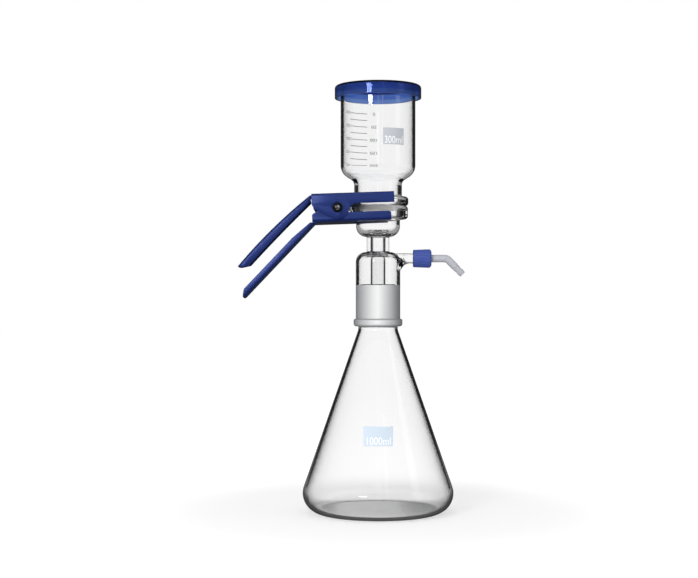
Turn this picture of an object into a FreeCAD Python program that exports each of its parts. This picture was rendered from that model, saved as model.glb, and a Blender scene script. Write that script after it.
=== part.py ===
import FreeCAD, Part
import math
import os

Vector = FreeCAD.Vector
X_AXIS = Vector(1, 0, 0)
Y_AXIS = Vector(0, 1, 0)
Z_AXIS = Vector(0, 0, 1)

# ---------------------------------------------------------------------------
# Driving dimensions, millimetres and degrees.
# Z runs up the common axis of the glass, from the bench. X points along the vacuum side arm.
# ---------------------------------------------------------------------------

# Conical flask, 1000 ml
FLASK_HEIGHT = 228.2
FLASK_SHARP_RADIUS = 83.4  # where the cone's line would meet the bench
FLASK_HEEL_RADIUS = 20.0
FLASK_NECK_LENGTH = 45.65  # from the rim down to where the cone would meet the neck
FLASK_WALL = 2.6
FLASK_FLOOR = 3.0
FLASK_NECK_BLEND = 12.0
FLASK_RIM_RADIUS = 1.0

# Ground joint between the flask and the filter base
JOINT_TAPER = 0.05  # radius lost per unit of height
JOINT_TOP_RADIUS = 17.5  # at the top of the flask's ground cone
JOINT_ENGAGEMENT = 42.0  # length of the flask's cone that the base covers
JOINT_FILM = 0.02  # grease film between the ground faces
SOCKET_LENGTH = 36.5
SOCKET_BEAD_RADIUS = 24.4
SOCKET_BEAD_HEIGHT = 6.8
SOCKET_BEAD_ROUND = 2.7
SOCKET_BEAD_BLEND = 1.0
SOCKET_TOP_BLEND = 1.0

# Filter base
BODY_RADIUS = 22.2
BODY_WALL = 3.0
BODY_HEIGHT = 74.1  # from the socket's mouth to the top of the shoulder
BODY_SHOULDER = 9.8
STEM_RADIUS = 11.3
STEM_LENGTH = 15.3
STEM_BORE_RADIUS = 5.1
STEM_BLEND = 1.6
DRIP_RADIUS = 7.3
DRIP_WALL = 1.5
DRIP_LENGTH = 54.0  # below the top of the shoulder
DRIP_NECK_LENGTH = 3.3  # where the tube is drawn in to the stem's bore
DRIP_NECK_WALL = 1.3
DRIP_FILM = 0.02  # seal between the drip tube and the shoulder
BOWL_RADIUS = 21.9
BOWL_ROUND = 10.5
BOWL_HEIGHT = 17.7
BOWL_WALL = 3.1
BOWL_FLOOR = 3.4
BOWL_FLOOR_SLOPE = 0.12  # rise per unit of radius, so that it drains
LOWER_FLANGE_RADIUS = 29.9
LOWER_FLANGE_HEIGHT = 13.2
FLANGE_ROUND = 3.0
FLANGE_BLEND = 1.8
SEAT_FILM = 0.02  # between the ground flange faces, and round the disc

# Sintered glass disc, fused in the top of the base
DISC_RADIUS = 20.0
DISC_THICKNESS = 4.6

# Graduated funnel, 300 ml
FUNNEL_HEIGHT = 118.2
FUNNEL_RADIUS = 37.35
FUNNEL_WALL = 2.75
FUNNEL_RIM_ROUND = 1.3
FUNNEL_NECK_RADIUS = 23.85
FUNNEL_NECK_WALL = 4.0
FUNNEL_SHOULDER_HEIGHT = 33.1  # where the slope would meet the wall, above the face that meets the base
FUNNEL_SHOULDER_RADIUS = 13.5
FUNNEL_SHOULDER_TURN = 57.0  # the slope's lean from the axis
FUNNEL_NECK_BLEND = 6.0
UPPER_FLANGE_RADIUS = 30.3
UPPER_FLANGE_HEIGHT = 9.0

# Lid
LID_RADIUS = 43.25
LID_HEIGHT = 13.0
LID_WALL = 2.0
LID_EDGE_ROUND = 3.2
LID_RING_DEPTH = 2.6
LID_RING_WALL = 1.6
LID_RING_GAP = 0.3
LID_SMALL_ROUND = 0.5

# Side arm of the filter base
ARM_DROP = 6.35  # below the top of the shoulder
ARM_RADIUS = 5.25
ARM_BORE_RADIUS = 3.4
ARM_LENGTH = 48.5  # from the axis to the rim under the cap
ARM_THREAD_RADIUS = 6.9
ARM_THREAD_LENGTH = 11.0
ARM_FLARE_LENGTH = 8.0
ARM_FLARE_DROP = 9.8  # growth of the arm's diameter at the root
ARM_ROOT_DEPTH = 6.0  # the flare starts this far inside the body's surface
ARM_FLARE_FORM = ((0.0, 1.0), (0.30, 0.93), (0.48, 0.62), (0.62, 0.30), (0.80, 0.08), (1.0, 0.0))
ARM_COLLAR_LENGTH = 1.5  # from the arm to the full thread radius
ARM_ROUND = 0.8

# Screw cap, seal and hose nozzle on the side arm
SEAL_THICKNESS = 1.5
SEAL_RADIUS = 6.4
NOZZLE_RADIUS = 3.75
NOZZLE_BORE_RADIUS = 2.2
NOZZLE_COLLAR_RADIUS = 6.2
NOZZLE_COLLAR_THICKNESS = 1.5
NOZZLE_REACH = 15.6  # from the cap's face to the corner of the bend
NOZZLE_BEND_RADIUS = 4.4
NOZZLE_ANGLE = 45.0
NOZZLE_LEG = 22.4  # from the corner of the bend to the end
NOZZLE_TIP_RADIUS = 3.1
NOZZLE_BARB_RADIUS = 3.7
NOZZLE_BARB_LENGTH = 5.2
NOZZLE_BARB_RISE = 0.9  # length of a barb's steep back
NOZZLE_BARBS = 2
CAP_LENGTH = 18.1
CAP_END_WALL = 1.6
CAP_ROOT_RADIUS = 8.7
CAP_FACE_RADIUS = 9.3
CAP_CHAMFER = 1.7
CAP_EDGE_ROUND = 0.6
CAP_RIBS = 24
CAP_RIB_DEPTH = 0.3
CAP_RIB_START = 1.2  # plain edge at the cap's mouth
TURNING_GAP = 0.1  # between parts that turn on each other

# Spring clamp: two folded sheet levers on one screw
CLAMP_TILT = 2.0  # nose up
PIVOT_REACH = 40.4  # from the glass axis
PIVOT_HEIGHT = 3.5  # below the face where the funnel meets the base
SHEET = 2.0
BEND_INSIDE = 1.0
SEAT_GAP = 0.2  # upper lever above the funnel's flange
JAW_SIDE_GAP = 0.3  # between the flanges' edges and the lower jaw's walls
LEVER_GAP = 0.25  # between the lower lever's walls and the upper lever's
EAR_SET = 0.8  # the upper lever's ears stand out this far from its jaw's walls
UPPER_JAW_LENGTH = 55.9  # in front of the pivot
LOWER_JAW_LENGTH = 52.5
LEVER_TAIL = 25.0  # behind the pivot
LOWER_TAIL = 21.0  # behind the pivot, to the lower handle's bend
FORK_RADIUS = 25.0
UPPER_WALL_EDGE = 3.5  # height of the upper wall's lower edge above the pivot
LOWER_WALL_EDGE = 4.85  # depth of the lower wall's upper edge below the pivot
UPPER_LOBE = 11.3
LOWER_LOBE = 9.6
UPPER_EAR_BACK = 22.8  # the ear's rear corner, behind the pivot
UPPER_EAR_DROP = 0.5  # and below it
UPPER_EAR_NOTCH = 3.6  # above the pivot
LOWER_EAR_BACK = 20.5
LOWER_EAR_DROP = 3.2
LOWER_EAR_NOTCH = 6.0  # below the pivot
LOBE_BLEND = 8.0
JAW_CORNER = 1.0  # rounding of the upper walls' small corners
LOWER_JAW_CORNER = 2.5
EAR_CORNER = 1.0
JOGGLE_START = 2.4  # in front of the pivot, where the upper lever's ears step in to its jaw
JOGGLE_LENGTH = 2.4
HANDLE_HALF_WIDTH = 17.0
HANDLE_NECK_HALF_WIDTH = 14.5
HANDLE_BEND_INSIDE = 3.0
UPPER_HANDLE_TURN = 37.0
UPPER_HANDLE_BOW_ANGLE = 11.2  # the handle curves on by this much
UPPER_HANDLE_LENGTH = 99.0
UPPER_HANDLE_ROOT_DEPTH = 5.5
UPPER_HANDLE_DEPTH = 8.0
LOWER_HANDLE_TURN = 44.5
LOWER_HANDLE_LENGTH = 101.5
LOWER_HANDLE_ROOT_DEPTH = 4.2
LOWER_HANDLE_DEPTH = 6.6
HANDLE_ROOT_RUN = 2.0  # the flanges start this far from the bend
HANDLE_DEPTH_RUN = 25.0  # over this length the lower handle's flanges reach their full depth
HANDLE_TIP_ROUND = 4.0

# Pivot: screw, nut, spacer sleeve and torsion spring
SCREW_RADIUS = 2.5
SCREW_GAP = 0.05
SCREW_HEAD_RADIUS = 4.9
SCREW_HEAD_HEIGHT = 3.0
SCREW_HEAD_ROUND = 1.2
SCREW_SOCKET_RADIUS = 1.9
SCREW_SOCKET_DEPTH = 1.8
SCREW_END = 1.4  # proud of the nut
NUT_ACROSS_FLATS = 8.0
NUT_HEIGHT = 4.0
NUT_SIDES = 6
SLEEVE_RADIUS = 4.4
SPRING_WIRE_RADIUS = 0.9
SPRING_COIL_RADIUS = 6.2
SPRING_PITCH = 2.4
SPRING_TURNS = 5
SPRING_LEG_REACH = 19.0

# ---------------------------------------------------------------------------
# Levels and places that follow from the dimensions above.
# ---------------------------------------------------------------------------

MOUTH_Z = FLASK_HEIGHT - JOINT_ENGAGEMENT
SOCKET_TOP_Z = MOUTH_Z + SOCKET_LENGTH
SHOULDER_Z = MOUTH_Z + BODY_HEIGHT
STEM_TOP_Z = SHOULDER_Z + STEM_LENGTH
LOWER_FLANGE_Z = STEM_TOP_Z + BOWL_HEIGHT
SEAT_Z = LOWER_FLANGE_Z + LOWER_FLANGE_HEIGHT
FUNNEL_Z = SEAT_Z + SEAT_FILM
UPPER_FLANGE_Z = FUNNEL_Z + UPPER_FLANGE_HEIGHT
FUNNEL_TOP_Z = FUNNEL_Z + FUNNEL_HEIGHT
ARM_Z = SHOULDER_Z - ARM_DROP
SEAL_X = ARM_LENGTH
COLLAR_X = SEAL_X + SEAL_THICKNESS
CAP_WALL_X = COLLAR_X + NOZZLE_COLLAR_THICKNESS + TURNING_GAP
CAP_FACE_X = CAP_WALL_X + CAP_END_WALL
CAP_ROOT_X = CAP_FACE_X - CAP_LENGTH
PIVOT_X = -PIVOT_REACH
PIVOT_Z = SEAT_Z - PIVOT_HEIGHT
EXTRA = 5.0  # how far a cutting tool runs past what it cuts


def joint_radius(z):
    """Radius of the flask's ground cone at height z."""
    return JOINT_TOP_RADIUS + JOINT_TAPER * (FLASK_HEIGHT - z)


NECK_Z = FLASK_HEIGHT - FLASK_NECK_LENGTH
FLASK_SLOPE = (FLASK_SHARP_RADIUS - joint_radius(NECK_Z)) / NECK_Z  # radius lost per unit of height


def clamp_height(x, z):
    """Height above the pivot, square to the tilted jaws, of a point of the glass."""
    tilt = math.radians(CLAMP_TILT)
    return math.cos(tilt) * (z - PIVOT_Z) - math.sin(tilt) * (x - PIVOT_X)


# The upper jaw lies on the back edge of the funnel's flange.
# The lower jaw's tips bear under the base's flange.
UPPER_SEAT = clamp_height(FLANGE_ROUND - UPPER_FLANGE_RADIUS, UPPER_FLANGE_Z) + SEAT_GAP
LOWER_SEAT = clamp_height(PIVOT_X + LOWER_JAW_LENGTH, LOWER_FLANGE_Z)
UPPER_TOP = UPPER_SEAT + SHEET
LOWER_BOTTOM = LOWER_SEAT - SHEET
LOWER_HALF_WIDTH = max(UPPER_FLANGE_RADIUS, LOWER_FLANGE_RADIUS) + JAW_SIDE_GAP + SHEET
UPPER_HALF_WIDTH = LOWER_HALF_WIDTH + LEVER_GAP + SHEET
EAR_HALF_WIDTH = UPPER_HALF_WIDTH + EAR_SET


# ---------------------------------------------------------------------------
# Outlines
# ---------------------------------------------------------------------------

def rounded_wire(corners, place):
    """Closed wire through corners (a, b, radius), each rounded by a tangent arc.

    place maps an outline's (a, b) to a Vector.
    """
    count = len(corners)
    starts, middles, ends = [], [], []
    for i, (a, b, radius) in enumerate(corners):
        before, after = corners[i - 1], corners[(i + 1) % count]
        back = Vector(before[0] - a, before[1] - b, 0).normalize()
        forth = Vector(after[0] - a, after[1] - b, 0).normalize()
        half = back.getAngle(forth) / 2
        corner = Vector(a, b, 0)
        reach = radius / math.tan(half)
        centre = corner + (back + forth).normalize() * (radius / math.sin(half))
        starts.append(corner + back * reach)
        middles.append(centre + (corner - centre).normalize() * radius if radius else corner)
        ends.append(corner + forth * reach)
    edges = []
    for i, (_, _, radius) in enumerate(corners):
        if radius:
            arc = Part.Arc(*[place(p.x, p.y) for p in (starts[i], middles[i], ends[i])])
            edges.append(arc.toShape())
        nxt = starts[(i + 1) % count]
        if ends[i].distanceToPoint(nxt) > 1e-6:
            edges.append(Part.LineSegment(place(ends[i].x, ends[i].y), place(nxt.x, nxt.y)).toShape())
    return Part.Wire(edges)


def on_xz(a, b):
    return Vector(a, 0, b)


def turned(corners):
    """Solid of revolution about Z of an outline of (radius, height, rounding) corners."""
    return Part.Face(rounded_wire(corners, on_xz)).revolve(Vector(0, 0, 0), Z_AXIS, 360)


def turned_about_x(corners):
    """Solid of revolution about X of an outline of (x, radius, rounding) corners."""
    return Part.Face(rounded_wire(corners, on_xz)).revolve(Vector(0, 0, 0), X_AXIS, 360)


def side_prism(corners, half_width):
    """Prism across Y of a side-view outline of (x, z, rounding) corners."""
    wire = rounded_wire(corners, lambda a, b: Vector(a, -half_width, b))
    return Part.Face(wire).extrude(Y_AXIS * (2 * half_width))


def one_solid(shape):
    """The shape with its seams merged, as a plain solid."""
    merged = shape.removeSplitter()
    return merged.Solids[0] if len(merged.Solids) == 1 else merged


def plain_solid(shape):
    """The only solid of a result."""
    return shape.Solids[0] if len(shape.Solids) == 1 else shape


# ---------------------------------------------------------------------------
# Glass
# ---------------------------------------------------------------------------

def flask_form(inset, floor_z, heel, top_z, rim_round):
    """The flask's body and neck, with every wall moved inwards by inset."""
    slant = math.hypot(1, FLASK_SLOPE)
    sharp = FLASK_SHARP_RADIUS - inset * slant
    joint_sharp = JOINT_TOP_RADIUS + JOINT_TAPER * FLASK_HEIGHT - inset
    neck_z = (sharp - joint_sharp) / (FLASK_SLOPE - JOINT_TAPER)
    neck_radius = sharp - FLASK_SLOPE * neck_z
    top_radius = joint_sharp - JOINT_TAPER * top_z
    return turned([
        (0, floor_z, 0),
        (sharp - FLASK_SLOPE * floor_z, floor_z, heel),
        (neck_radius, neck_z, FLASK_NECK_BLEND),
        (top_radius, top_z, rim_round),
        (0, top_z, 0),
    ])


def conical_flask():
    outside = flask_form(0, 0, FLASK_HEEL_RADIUS, FLASK_HEIGHT, FLASK_RIM_RADIUS)
    inside = flask_form(FLASK_WALL, FLASK_FLOOR, FLASK_HEEL_RADIUS - FLASK_WALL, FLASK_HEIGHT + EXTRA, 0)
    return one_solid(outside.cut(inside))


def base_outside():
    """Flange, bowl, stem, shoulder, body and beaded socket as one turned form."""
    bead_top = MOUTH_Z + SOCKET_BEAD_HEIGHT
    return turned([
        (0, MOUTH_Z, 0),
        (SOCKET_BEAD_RADIUS, MOUTH_Z, SOCKET_BEAD_ROUND),
        (SOCKET_BEAD_RADIUS, bead_top, SOCKET_BEAD_ROUND / 2),
        (BODY_RADIUS, bead_top + SOCKET_BEAD_BLEND, SOCKET_BEAD_BLEND / 2),
        (BODY_RADIUS, SHOULDER_Z, BODY_SHOULDER),
        (STEM_RADIUS, SHOULDER_Z, STEM_BLEND / 2),
        (STEM_RADIUS, STEM_TOP_Z, STEM_BLEND / 2),
        (BOWL_RADIUS, STEM_TOP_Z, BOWL_ROUND),
        (BOWL_RADIUS, LOWER_FLANGE_Z, FLANGE_BLEND),
        (LOWER_FLANGE_RADIUS, LOWER_FLANGE_Z, FLANGE_ROUND),
        (LOWER_FLANGE_RADIUS, SEAT_Z, FLANGE_ROUND),
        (0, SEAT_Z, 0),
    ])


def body_hollow():
    """The vacuum space round the drip tube, and the ground socket below it."""
    inner = BODY_RADIUS - BODY_WALL
    roof = SHOULDER_Z - BODY_WALL
    return turned([
        (0, MOUTH_Z - EXTRA, 0),
        (joint_radius(MOUTH_Z - EXTRA) + JOINT_FILM, MOUTH_Z - EXTRA, 0),
        (joint_radius(SOCKET_TOP_Z) + JOINT_FILM, SOCKET_TOP_Z, SOCKET_TOP_BLEND),
        (inner, SOCKET_TOP_Z + BODY_WALL, SOCKET_TOP_BLEND),
        (inner, roof, BODY_SHOULDER - BODY_WALL),
        (0, roof, 0),
    ])


def drip_tube():
    """The tube sealed under the shoulder, which carries the filtrate down; it is drawn in at the seal."""
    top = SHOULDER_Z - BODY_WALL - DRIP_FILM
    foot = SHOULDER_Z - DRIP_LENGTH
    neck_z = top - DRIP_NECK_LENGTH
    bore = DRIP_RADIUS - DRIP_WALL
    return turned([
        (bore, foot, DRIP_WALL / 3),
        (DRIP_RADIUS, foot, DRIP_WALL / 3),
        (DRIP_RADIUS, neck_z, DRIP_NECK_LENGTH / 2),
        (STEM_BORE_RADIUS + DRIP_NECK_WALL, top, 0),
        (STEM_BORE_RADIUS, top, 0),
        (bore, neck_z, DRIP_NECK_LENGTH / 2),
    ])


def filtrate_way():
    """What the filtrate runs through in the base: disc seat, bowl and stem bore."""
    bowl_bore = BOWL_RADIUS - BOWL_WALL
    floor_z = STEM_TOP_Z + BOWL_FLOOR
    ledge_z = SEAT_Z - DISC_THICKNESS - SEAT_FILM
    wall_z = floor_z + BOWL_FLOOR_SLOPE * (bowl_bore - STEM_BORE_RADIUS)
    return turned([
        (0, SHOULDER_Z - BODY_WALL - EXTRA, 0),
        (STEM_BORE_RADIUS, SHOULDER_Z - BODY_WALL - EXTRA, 0),
        (STEM_BORE_RADIUS, floor_z, BOWL_FLOOR / 2),
        (bowl_bore, wall_z, BOWL_ROUND - BOWL_WALL),
        (bowl_bore, ledge_z, 0),
        (DISC_RADIUS, ledge_z, 0),
        (DISC_RADIUS, SEAT_Z + EXTRA, 0),
        (0, SEAT_Z + EXTRA, 0),
    ])


def arm_flare():
    """The swept foot of the side arm: level on top, spreading down the body's wall."""
    sections = []
    root_x = BODY_RADIUS - ARM_ROOT_DEPTH
    for share, spread in ARM_FLARE_FORM:
        radius = ARM_RADIUS + spread * ARM_FLARE_DROP / 2
        x = root_x + share * (ARM_ROOT_DEPTH + ARM_FLARE_LENGTH)
        centre = Vector(x, 0, ARM_Z + ARM_RADIUS - radius)
        sections.append(Part.Wire(Part.makeCircle(radius, centre, X_AXIS)))
    return Part.makeLoft(sections, True)


def side_arm():
    """The arm outside the body, with the thicker end that carries the cap's thread."""
    thread_x = ARM_LENGTH - ARM_THREAD_LENGTH
    tube = turned_about_x([
        (STEM_RADIUS, 0, 0),
        (STEM_RADIUS, ARM_RADIUS, 0),
        (thread_x, ARM_RADIUS, ARM_ROUND),
        (thread_x + ARM_COLLAR_LENGTH, ARM_THREAD_RADIUS, ARM_ROUND / 2),
        (ARM_LENGTH, ARM_THREAD_RADIUS, ARM_ROUND),
        (ARM_LENGTH, 0, 0),
    ])
    tube.translate(Vector(0, 0, ARM_Z))
    return tube.fuse(arm_flare())


def arm_bore():
    start = BODY_RADIUS - BODY_WALL - EXTRA
    return Part.makeCylinder(ARM_BORE_RADIUS, ARM_LENGTH + EXTRA - start, Vector(start, 0, ARM_Z), X_AXIS)


def filter_base():
    shell = base_outside().fuse(side_arm()).cut(body_hollow())
    return plain_solid(shell.cut(filtrate_way()).cut(arm_bore()))


def sintered_disc():
    return Part.makeCylinder(DISC_RADIUS - SEAT_FILM, DISC_THICKNESS, Vector(0, 0, SEAT_Z - DISC_THICKNESS))


def funnel_form(inset, neck_radius, bottom_z, top_z, rim_round):
    """Side of the funnel from neck to mouth, as corners, walls moved inwards by inset."""
    turn = math.radians(FUNNEL_SHOULDER_TURN)
    outer = FUNNEL_RADIUS - inset
    shoulder_z = FUNNEL_Z + FUNNEL_SHOULDER_HEIGHT + inset * math.tan(turn / 2)
    neck_z = shoulder_z - (outer - neck_radius) / math.tan(turn)
    return [
        (neck_radius, bottom_z, 0),
        (neck_radius, neck_z, FUNNEL_NECK_BLEND + inset),
        (outer, shoulder_z, FUNNEL_SHOULDER_RADIUS - inset),
        (outer, top_z, rim_round),
    ]


def graduated_funnel():
    outside = funnel_form(0, FUNNEL_NECK_RADIUS, UPPER_FLANGE_Z, FUNNEL_TOP_Z, FUNNEL_RIM_ROUND)
    flange = [
        (0, FUNNEL_Z, 0),
        (UPPER_FLANGE_RADIUS, FUNNEL_Z, FLANGE_ROUND),
        (UPPER_FLANGE_RADIUS, UPPER_FLANGE_Z, FLANGE_ROUND),
        (FUNNEL_NECK_RADIUS, UPPER_FLANGE_Z, FLANGE_BLEND),
    ]
    solid = turned(flange + outside[1:] + [(0, FUNNEL_TOP_Z, 0)])
    neck_bore = FUNNEL_NECK_RADIUS - FUNNEL_NECK_WALL
    inside = funnel_form(FUNNEL_WALL, neck_bore, FUNNEL_Z - EXTRA, FUNNEL_TOP_Z + EXTRA, 0)
    hollow = turned([(0, FUNNEL_Z - EXTRA, 0)] + inside + [(0, FUNNEL_TOP_Z + EXTRA, 0)])
    return one_solid(solid.cut(hollow))


# ---------------------------------------------------------------------------
# Lid
# ---------------------------------------------------------------------------

def funnel_lid():
    top_z = FUNNEL_TOP_Z + LID_WALL
    skirt_z = top_z - LID_HEIGHT
    bore = LID_RADIUS - LID_WALL
    ring_outer = FUNNEL_RADIUS - FUNNEL_WALL - LID_RING_GAP
    ring_inner = ring_outer - LID_RING_WALL
    ring_z = FUNNEL_TOP_Z - LID_RING_DEPTH
    return turned([
        (0, FUNNEL_TOP_Z, 0),
        (ring_inner, FUNNEL_TOP_Z, LID_SMALL_ROUND),
        (ring_inner, ring_z, LID_SMALL_ROUND),
        (ring_outer, ring_z, LID_SMALL_ROUND),
        (ring_outer, FUNNEL_TOP_Z, 0),
        (bore, FUNNEL_TOP_Z, LID_EDGE_ROUND - LID_WALL),
        (bore, skirt_z, LID_SMALL_ROUND),
        (LID_RADIUS, skirt_z, LID_SMALL_ROUND),
        (LID_RADIUS, top_z, LID_EDGE_ROUND),
        (0, top_z, 0),
    ])


# ---------------------------------------------------------------------------
# Hose connection on the side arm
# ---------------------------------------------------------------------------

def on_arm(shape):
    """Moves a shape built about the X axis on to the side arm's axis."""
    shape.translate(Vector(0, 0, ARM_Z))
    return shape


def nozzle_seal():
    ring = Part.makeCylinder(SEAL_RADIUS, SEAL_THICKNESS, Vector(SEAL_X, 0, 0), X_AXIS)
    start = Vector(SEAL_X - EXTRA, 0, 0)
    bore = Part.makeCylinder(ARM_BORE_RADIUS, SEAL_THICKNESS + 2 * EXTRA, start, X_AXIS)
    return on_arm(ring.cut(bore))


def hose_screw_cap():
    shell = turned_about_x([
        (CAP_ROOT_X, 0, 0),
        (CAP_ROOT_X, CAP_ROOT_RADIUS, CAP_EDGE_ROUND),
        (CAP_FACE_X - CAP_CHAMFER, CAP_FACE_RADIUS, CAP_EDGE_ROUND),
        (CAP_FACE_X, CAP_FACE_RADIUS - CAP_CHAMFER, CAP_EDGE_ROUND),
        (CAP_FACE_X, 0, 0),
    ])
    hollow = ARM_THREAD_RADIUS + TURNING_GAP
    tools = [
        Part.makeCylinder(hollow, CAP_WALL_X - CAP_ROOT_X + EXTRA, Vector(CAP_ROOT_X - EXTRA, 0, 0), X_AXIS),
        Part.makeCylinder(NOZZLE_RADIUS + TURNING_GAP, CAP_LENGTH + EXTRA, Vector(CAP_ROOT_X, 0, 0), X_AXIS),
    ]
    groove_radius = math.pi * CAP_ROOT_RADIUS / CAP_RIBS / 2
    for i in range(CAP_RIBS):
        angle = 2 * math.pi * i / CAP_RIBS
        reach = CAP_ROOT_RADIUS + groove_radius - CAP_RIB_DEPTH
        across = Vector(0, math.cos(angle), math.sin(angle))
        foot = across * reach + Vector(CAP_ROOT_X + CAP_RIB_START, 0, 0)
        rise = across * (CAP_FACE_RADIUS - CAP_ROOT_RADIUS) + X_AXIS * CAP_LENGTH
        tools.append(Part.makeCylinder(groove_radius, CAP_LENGTH + EXTRA, foot, rise))
    return on_arm(one_solid(shell.cut(tools)))


def nozzle_path(stop_x):
    """The nozzle's centre line from stop_x, round the bend, to its end, with the end and its direction."""
    turn = math.radians(NOZZLE_ANGLE)
    corner = Vector(CAP_FACE_X + NOZZLE_REACH, 0, 0)
    down = Vector(math.cos(turn), 0, -math.sin(turn))
    reach = NOZZLE_BEND_RADIUS * math.tan(turn / 2)
    start, finish = corner - X_AXIS * reach, corner + down * reach
    centre = start - Z_AXIS * NOZZLE_BEND_RADIUS
    middle = centre + (corner - centre).normalize() * NOZZLE_BEND_RADIUS
    end = corner + down * NOZZLE_LEG
    edges = [
        Part.LineSegment(Vector(stop_x, 0, 0), start).toShape(),
        Part.Arc(start, middle, finish).toShape(),
        Part.LineSegment(finish, end).toShape(),
    ]
    return Part.Wire(edges), end, down


def nozzle_tube(radius, stop_x):
    """A round bar of that radius along the nozzle's centre line."""
    path, _, _ = nozzle_path(stop_x)
    section = Part.Wire(Part.makeCircle(radius, Vector(stop_x, 0, 0), X_AXIS))
    return path.makePipeShell([section], True, False)


def hose_nozzle():
    body = nozzle_tube(NOZZLE_RADIUS, COLLAR_X)
    collar = Part.makeCylinder(NOZZLE_COLLAR_RADIUS, NOZZLE_COLLAR_THICKNESS, Vector(COLLAR_X, 0, 0), X_AXIS)
    _, end, down = nozzle_path(COLLAR_X)
    barbed = NOZZLE_BARBS * NOZZLE_BARB_LENGTH
    waist = Part.makeCylinder(NOZZLE_RADIUS + EXTRA, barbed, end - down * barbed, down)
    barbs = []
    for i in range(NOZZLE_BARBS):
        foot = end - down * (NOZZLE_BARB_LENGTH * (i + 1))
        crest = foot + down * NOZZLE_BARB_RISE
        taper = NOZZLE_BARB_LENGTH - NOZZLE_BARB_RISE
        barbs.append(Part.makeCone(NOZZLE_TIP_RADIUS, NOZZLE_BARB_RADIUS, NOZZLE_BARB_RISE, foot, down))
        barbs.append(Part.makeCone(NOZZLE_BARB_RADIUS, NOZZLE_TIP_RADIUS, taper, crest, down))
    solid = body.fuse(collar).cut(waist).fuse(barbs)
    return on_arm(one_solid(solid.cut(nozzle_bore())))


def nozzle_bore():
    _, end, down = nozzle_path(COLLAR_X)
    way_out = Part.makeCylinder(NOZZLE_BORE_RADIUS, 2 * EXTRA, end - down * EXTRA, down)
    way_in = Part.makeCylinder(NOZZLE_BORE_RADIUS, 2 * EXTRA, Vector(COLLAR_X - EXTRA, 0, 0), X_AXIS)
    return nozzle_tube(NOZZLE_BORE_RADIUS, COLLAR_X).fuse([way_out, way_in])


# ---------------------------------------------------------------------------
# Clamp, built about its pivot with the jaws level, then tilted and placed
# ---------------------------------------------------------------------------

def placed_clamp(shape):
    shape.rotate(Vector(0, 0, 0), Y_AXIS, -CLAMP_TILT)
    shape.translate(Vector(PIVOT_X, 0, PIVOT_Z))
    return shape


def channel_wire(half_width, web, side, depth, place):
    """Wire of a folded channel: web surface at height web, the sheet on the side of its flanges.

    side is +1 for flanges that rise from the web and -1 for flanges that hang from it.
    """
    outside = BEND_INSIDE + SHEET
    inner = half_width - SHEET
    return rounded_wire([
        (-half_width, web + side * depth, 0),
        (-half_width, web, outside),
        (half_width, web, outside),
        (half_width, web + side * depth, 0),
        (inner, web + side * depth, 0),
        (inner, web + side * SHEET, BEND_INSIDE),
        (-inner, web + side * SHEET, BEND_INSIDE),
        (-inner, web + side * depth, 0),
    ], place)


def tangent_corner(point, radius, side_x, rising):
    """Height at side_x of the tangent from point to a circle about the pivot."""
    away = math.hypot(*point)
    towards = math.atan2(-point[1], -point[0])
    lean = math.asin(radius / away)
    direction = towards + lean if rising else towards - lean
    return point[1] + math.tan(direction) * (side_x - point[0])


def fork_slot():
    """The open-ended slot that lets the jaws pass round the glass."""
    axis_u = PIVOT_REACH / math.cos(math.radians(CLAMP_TILT))
    height = 2 * UPPER_TOP
    root = Part.makeCylinder(FORK_RADIUS, 2 * height, Vector(axis_u, 0, -height))
    way = Part.makeBox(UPPER_JAW_LENGTH, 2 * FORK_RADIUS, 2 * height, Vector(axis_u, -FORK_RADIUS, -height))
    return root.fuse(way)


def pivot_hole():
    width = 2 * EAR_HALF_WIDTH + EXTRA
    return Part.makeCylinder(SCREW_RADIUS + SCREW_GAP, width, Vector(0, -width / 2, 0), Y_AXIS)


def handle_bend(back_u, seat, turn):
    """The web's bend from the jaw plate into a handle; seat is the plate's under face."""
    centre = Vector(back_u, 0, seat - HANDLE_BEND_INSIDE)
    half = HANDLE_NECK_HALF_WIDTH
    top = seat + SHEET
    points = [Vector(back_u, y, z) for y, z in ((-half, seat), (half, seat), (half, top), (-half, top))]
    face = Part.Face(Part.makePolygon(points + points[:1]))
    return face.revolve(centre, Y_AXIS, -turn)


def handle_start(back_u, seat, turn):
    """Where the under face leaves the bend, the direction along the handle and the one out of its back."""
    angle = math.radians(turn)
    along = Vector(-math.cos(angle), 0, -math.sin(angle))
    outwards = Vector(-math.sin(angle), 0, math.cos(angle))
    centre = Vector(back_u, 0, seat - HANDLE_BEND_INSIDE)
    return centre + outwards * HANDLE_BEND_INSIDE, along, outwards


def lower_handle_limits(origin, along, outwards):
    """Side-view limits: flanges that deepen from the bend and are cut back at the tip."""
    length = LOWER_HANDLE_LENGTH
    outline = [
        (0, -SHEET), (length, -SHEET), (length, SHEET),
        (length - LOWER_HANDLE_DEPTH, LOWER_HANDLE_DEPTH), (HANDLE_DEPTH_RUN, LOWER_HANDLE_DEPTH),
        (HANDLE_ROOT_RUN, LOWER_HANDLE_ROOT_DEPTH), (0, SHEET),
    ]
    half = HANDLE_HALF_WIDTH + EXTRA
    points = [origin + along * s + outwards * n - Y_AXIS * half for s, n in outline]
    return Part.Face(Part.makePolygon(points + points[:1])).extrude(Y_AXIS * (2 * half))


def tip_trim(origin, along, outwards, length):
    """Rounded corners of a handle's end, as a tool that keeps what lies inside it."""
    half = HANDLE_HALF_WIDTH
    wire = rounded_wire([
        (-EXTRA, -half, 0),
        (length, -half, HANDLE_TIP_ROUND),
        (length, half, HANDLE_TIP_ROUND),
        (-EXTRA, half, 0),
    ], lambda s, v: origin + along * s + Y_AXIS * v - outwards * length)
    return Part.Face(wire).extrude(outwards * (2 * length))


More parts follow.
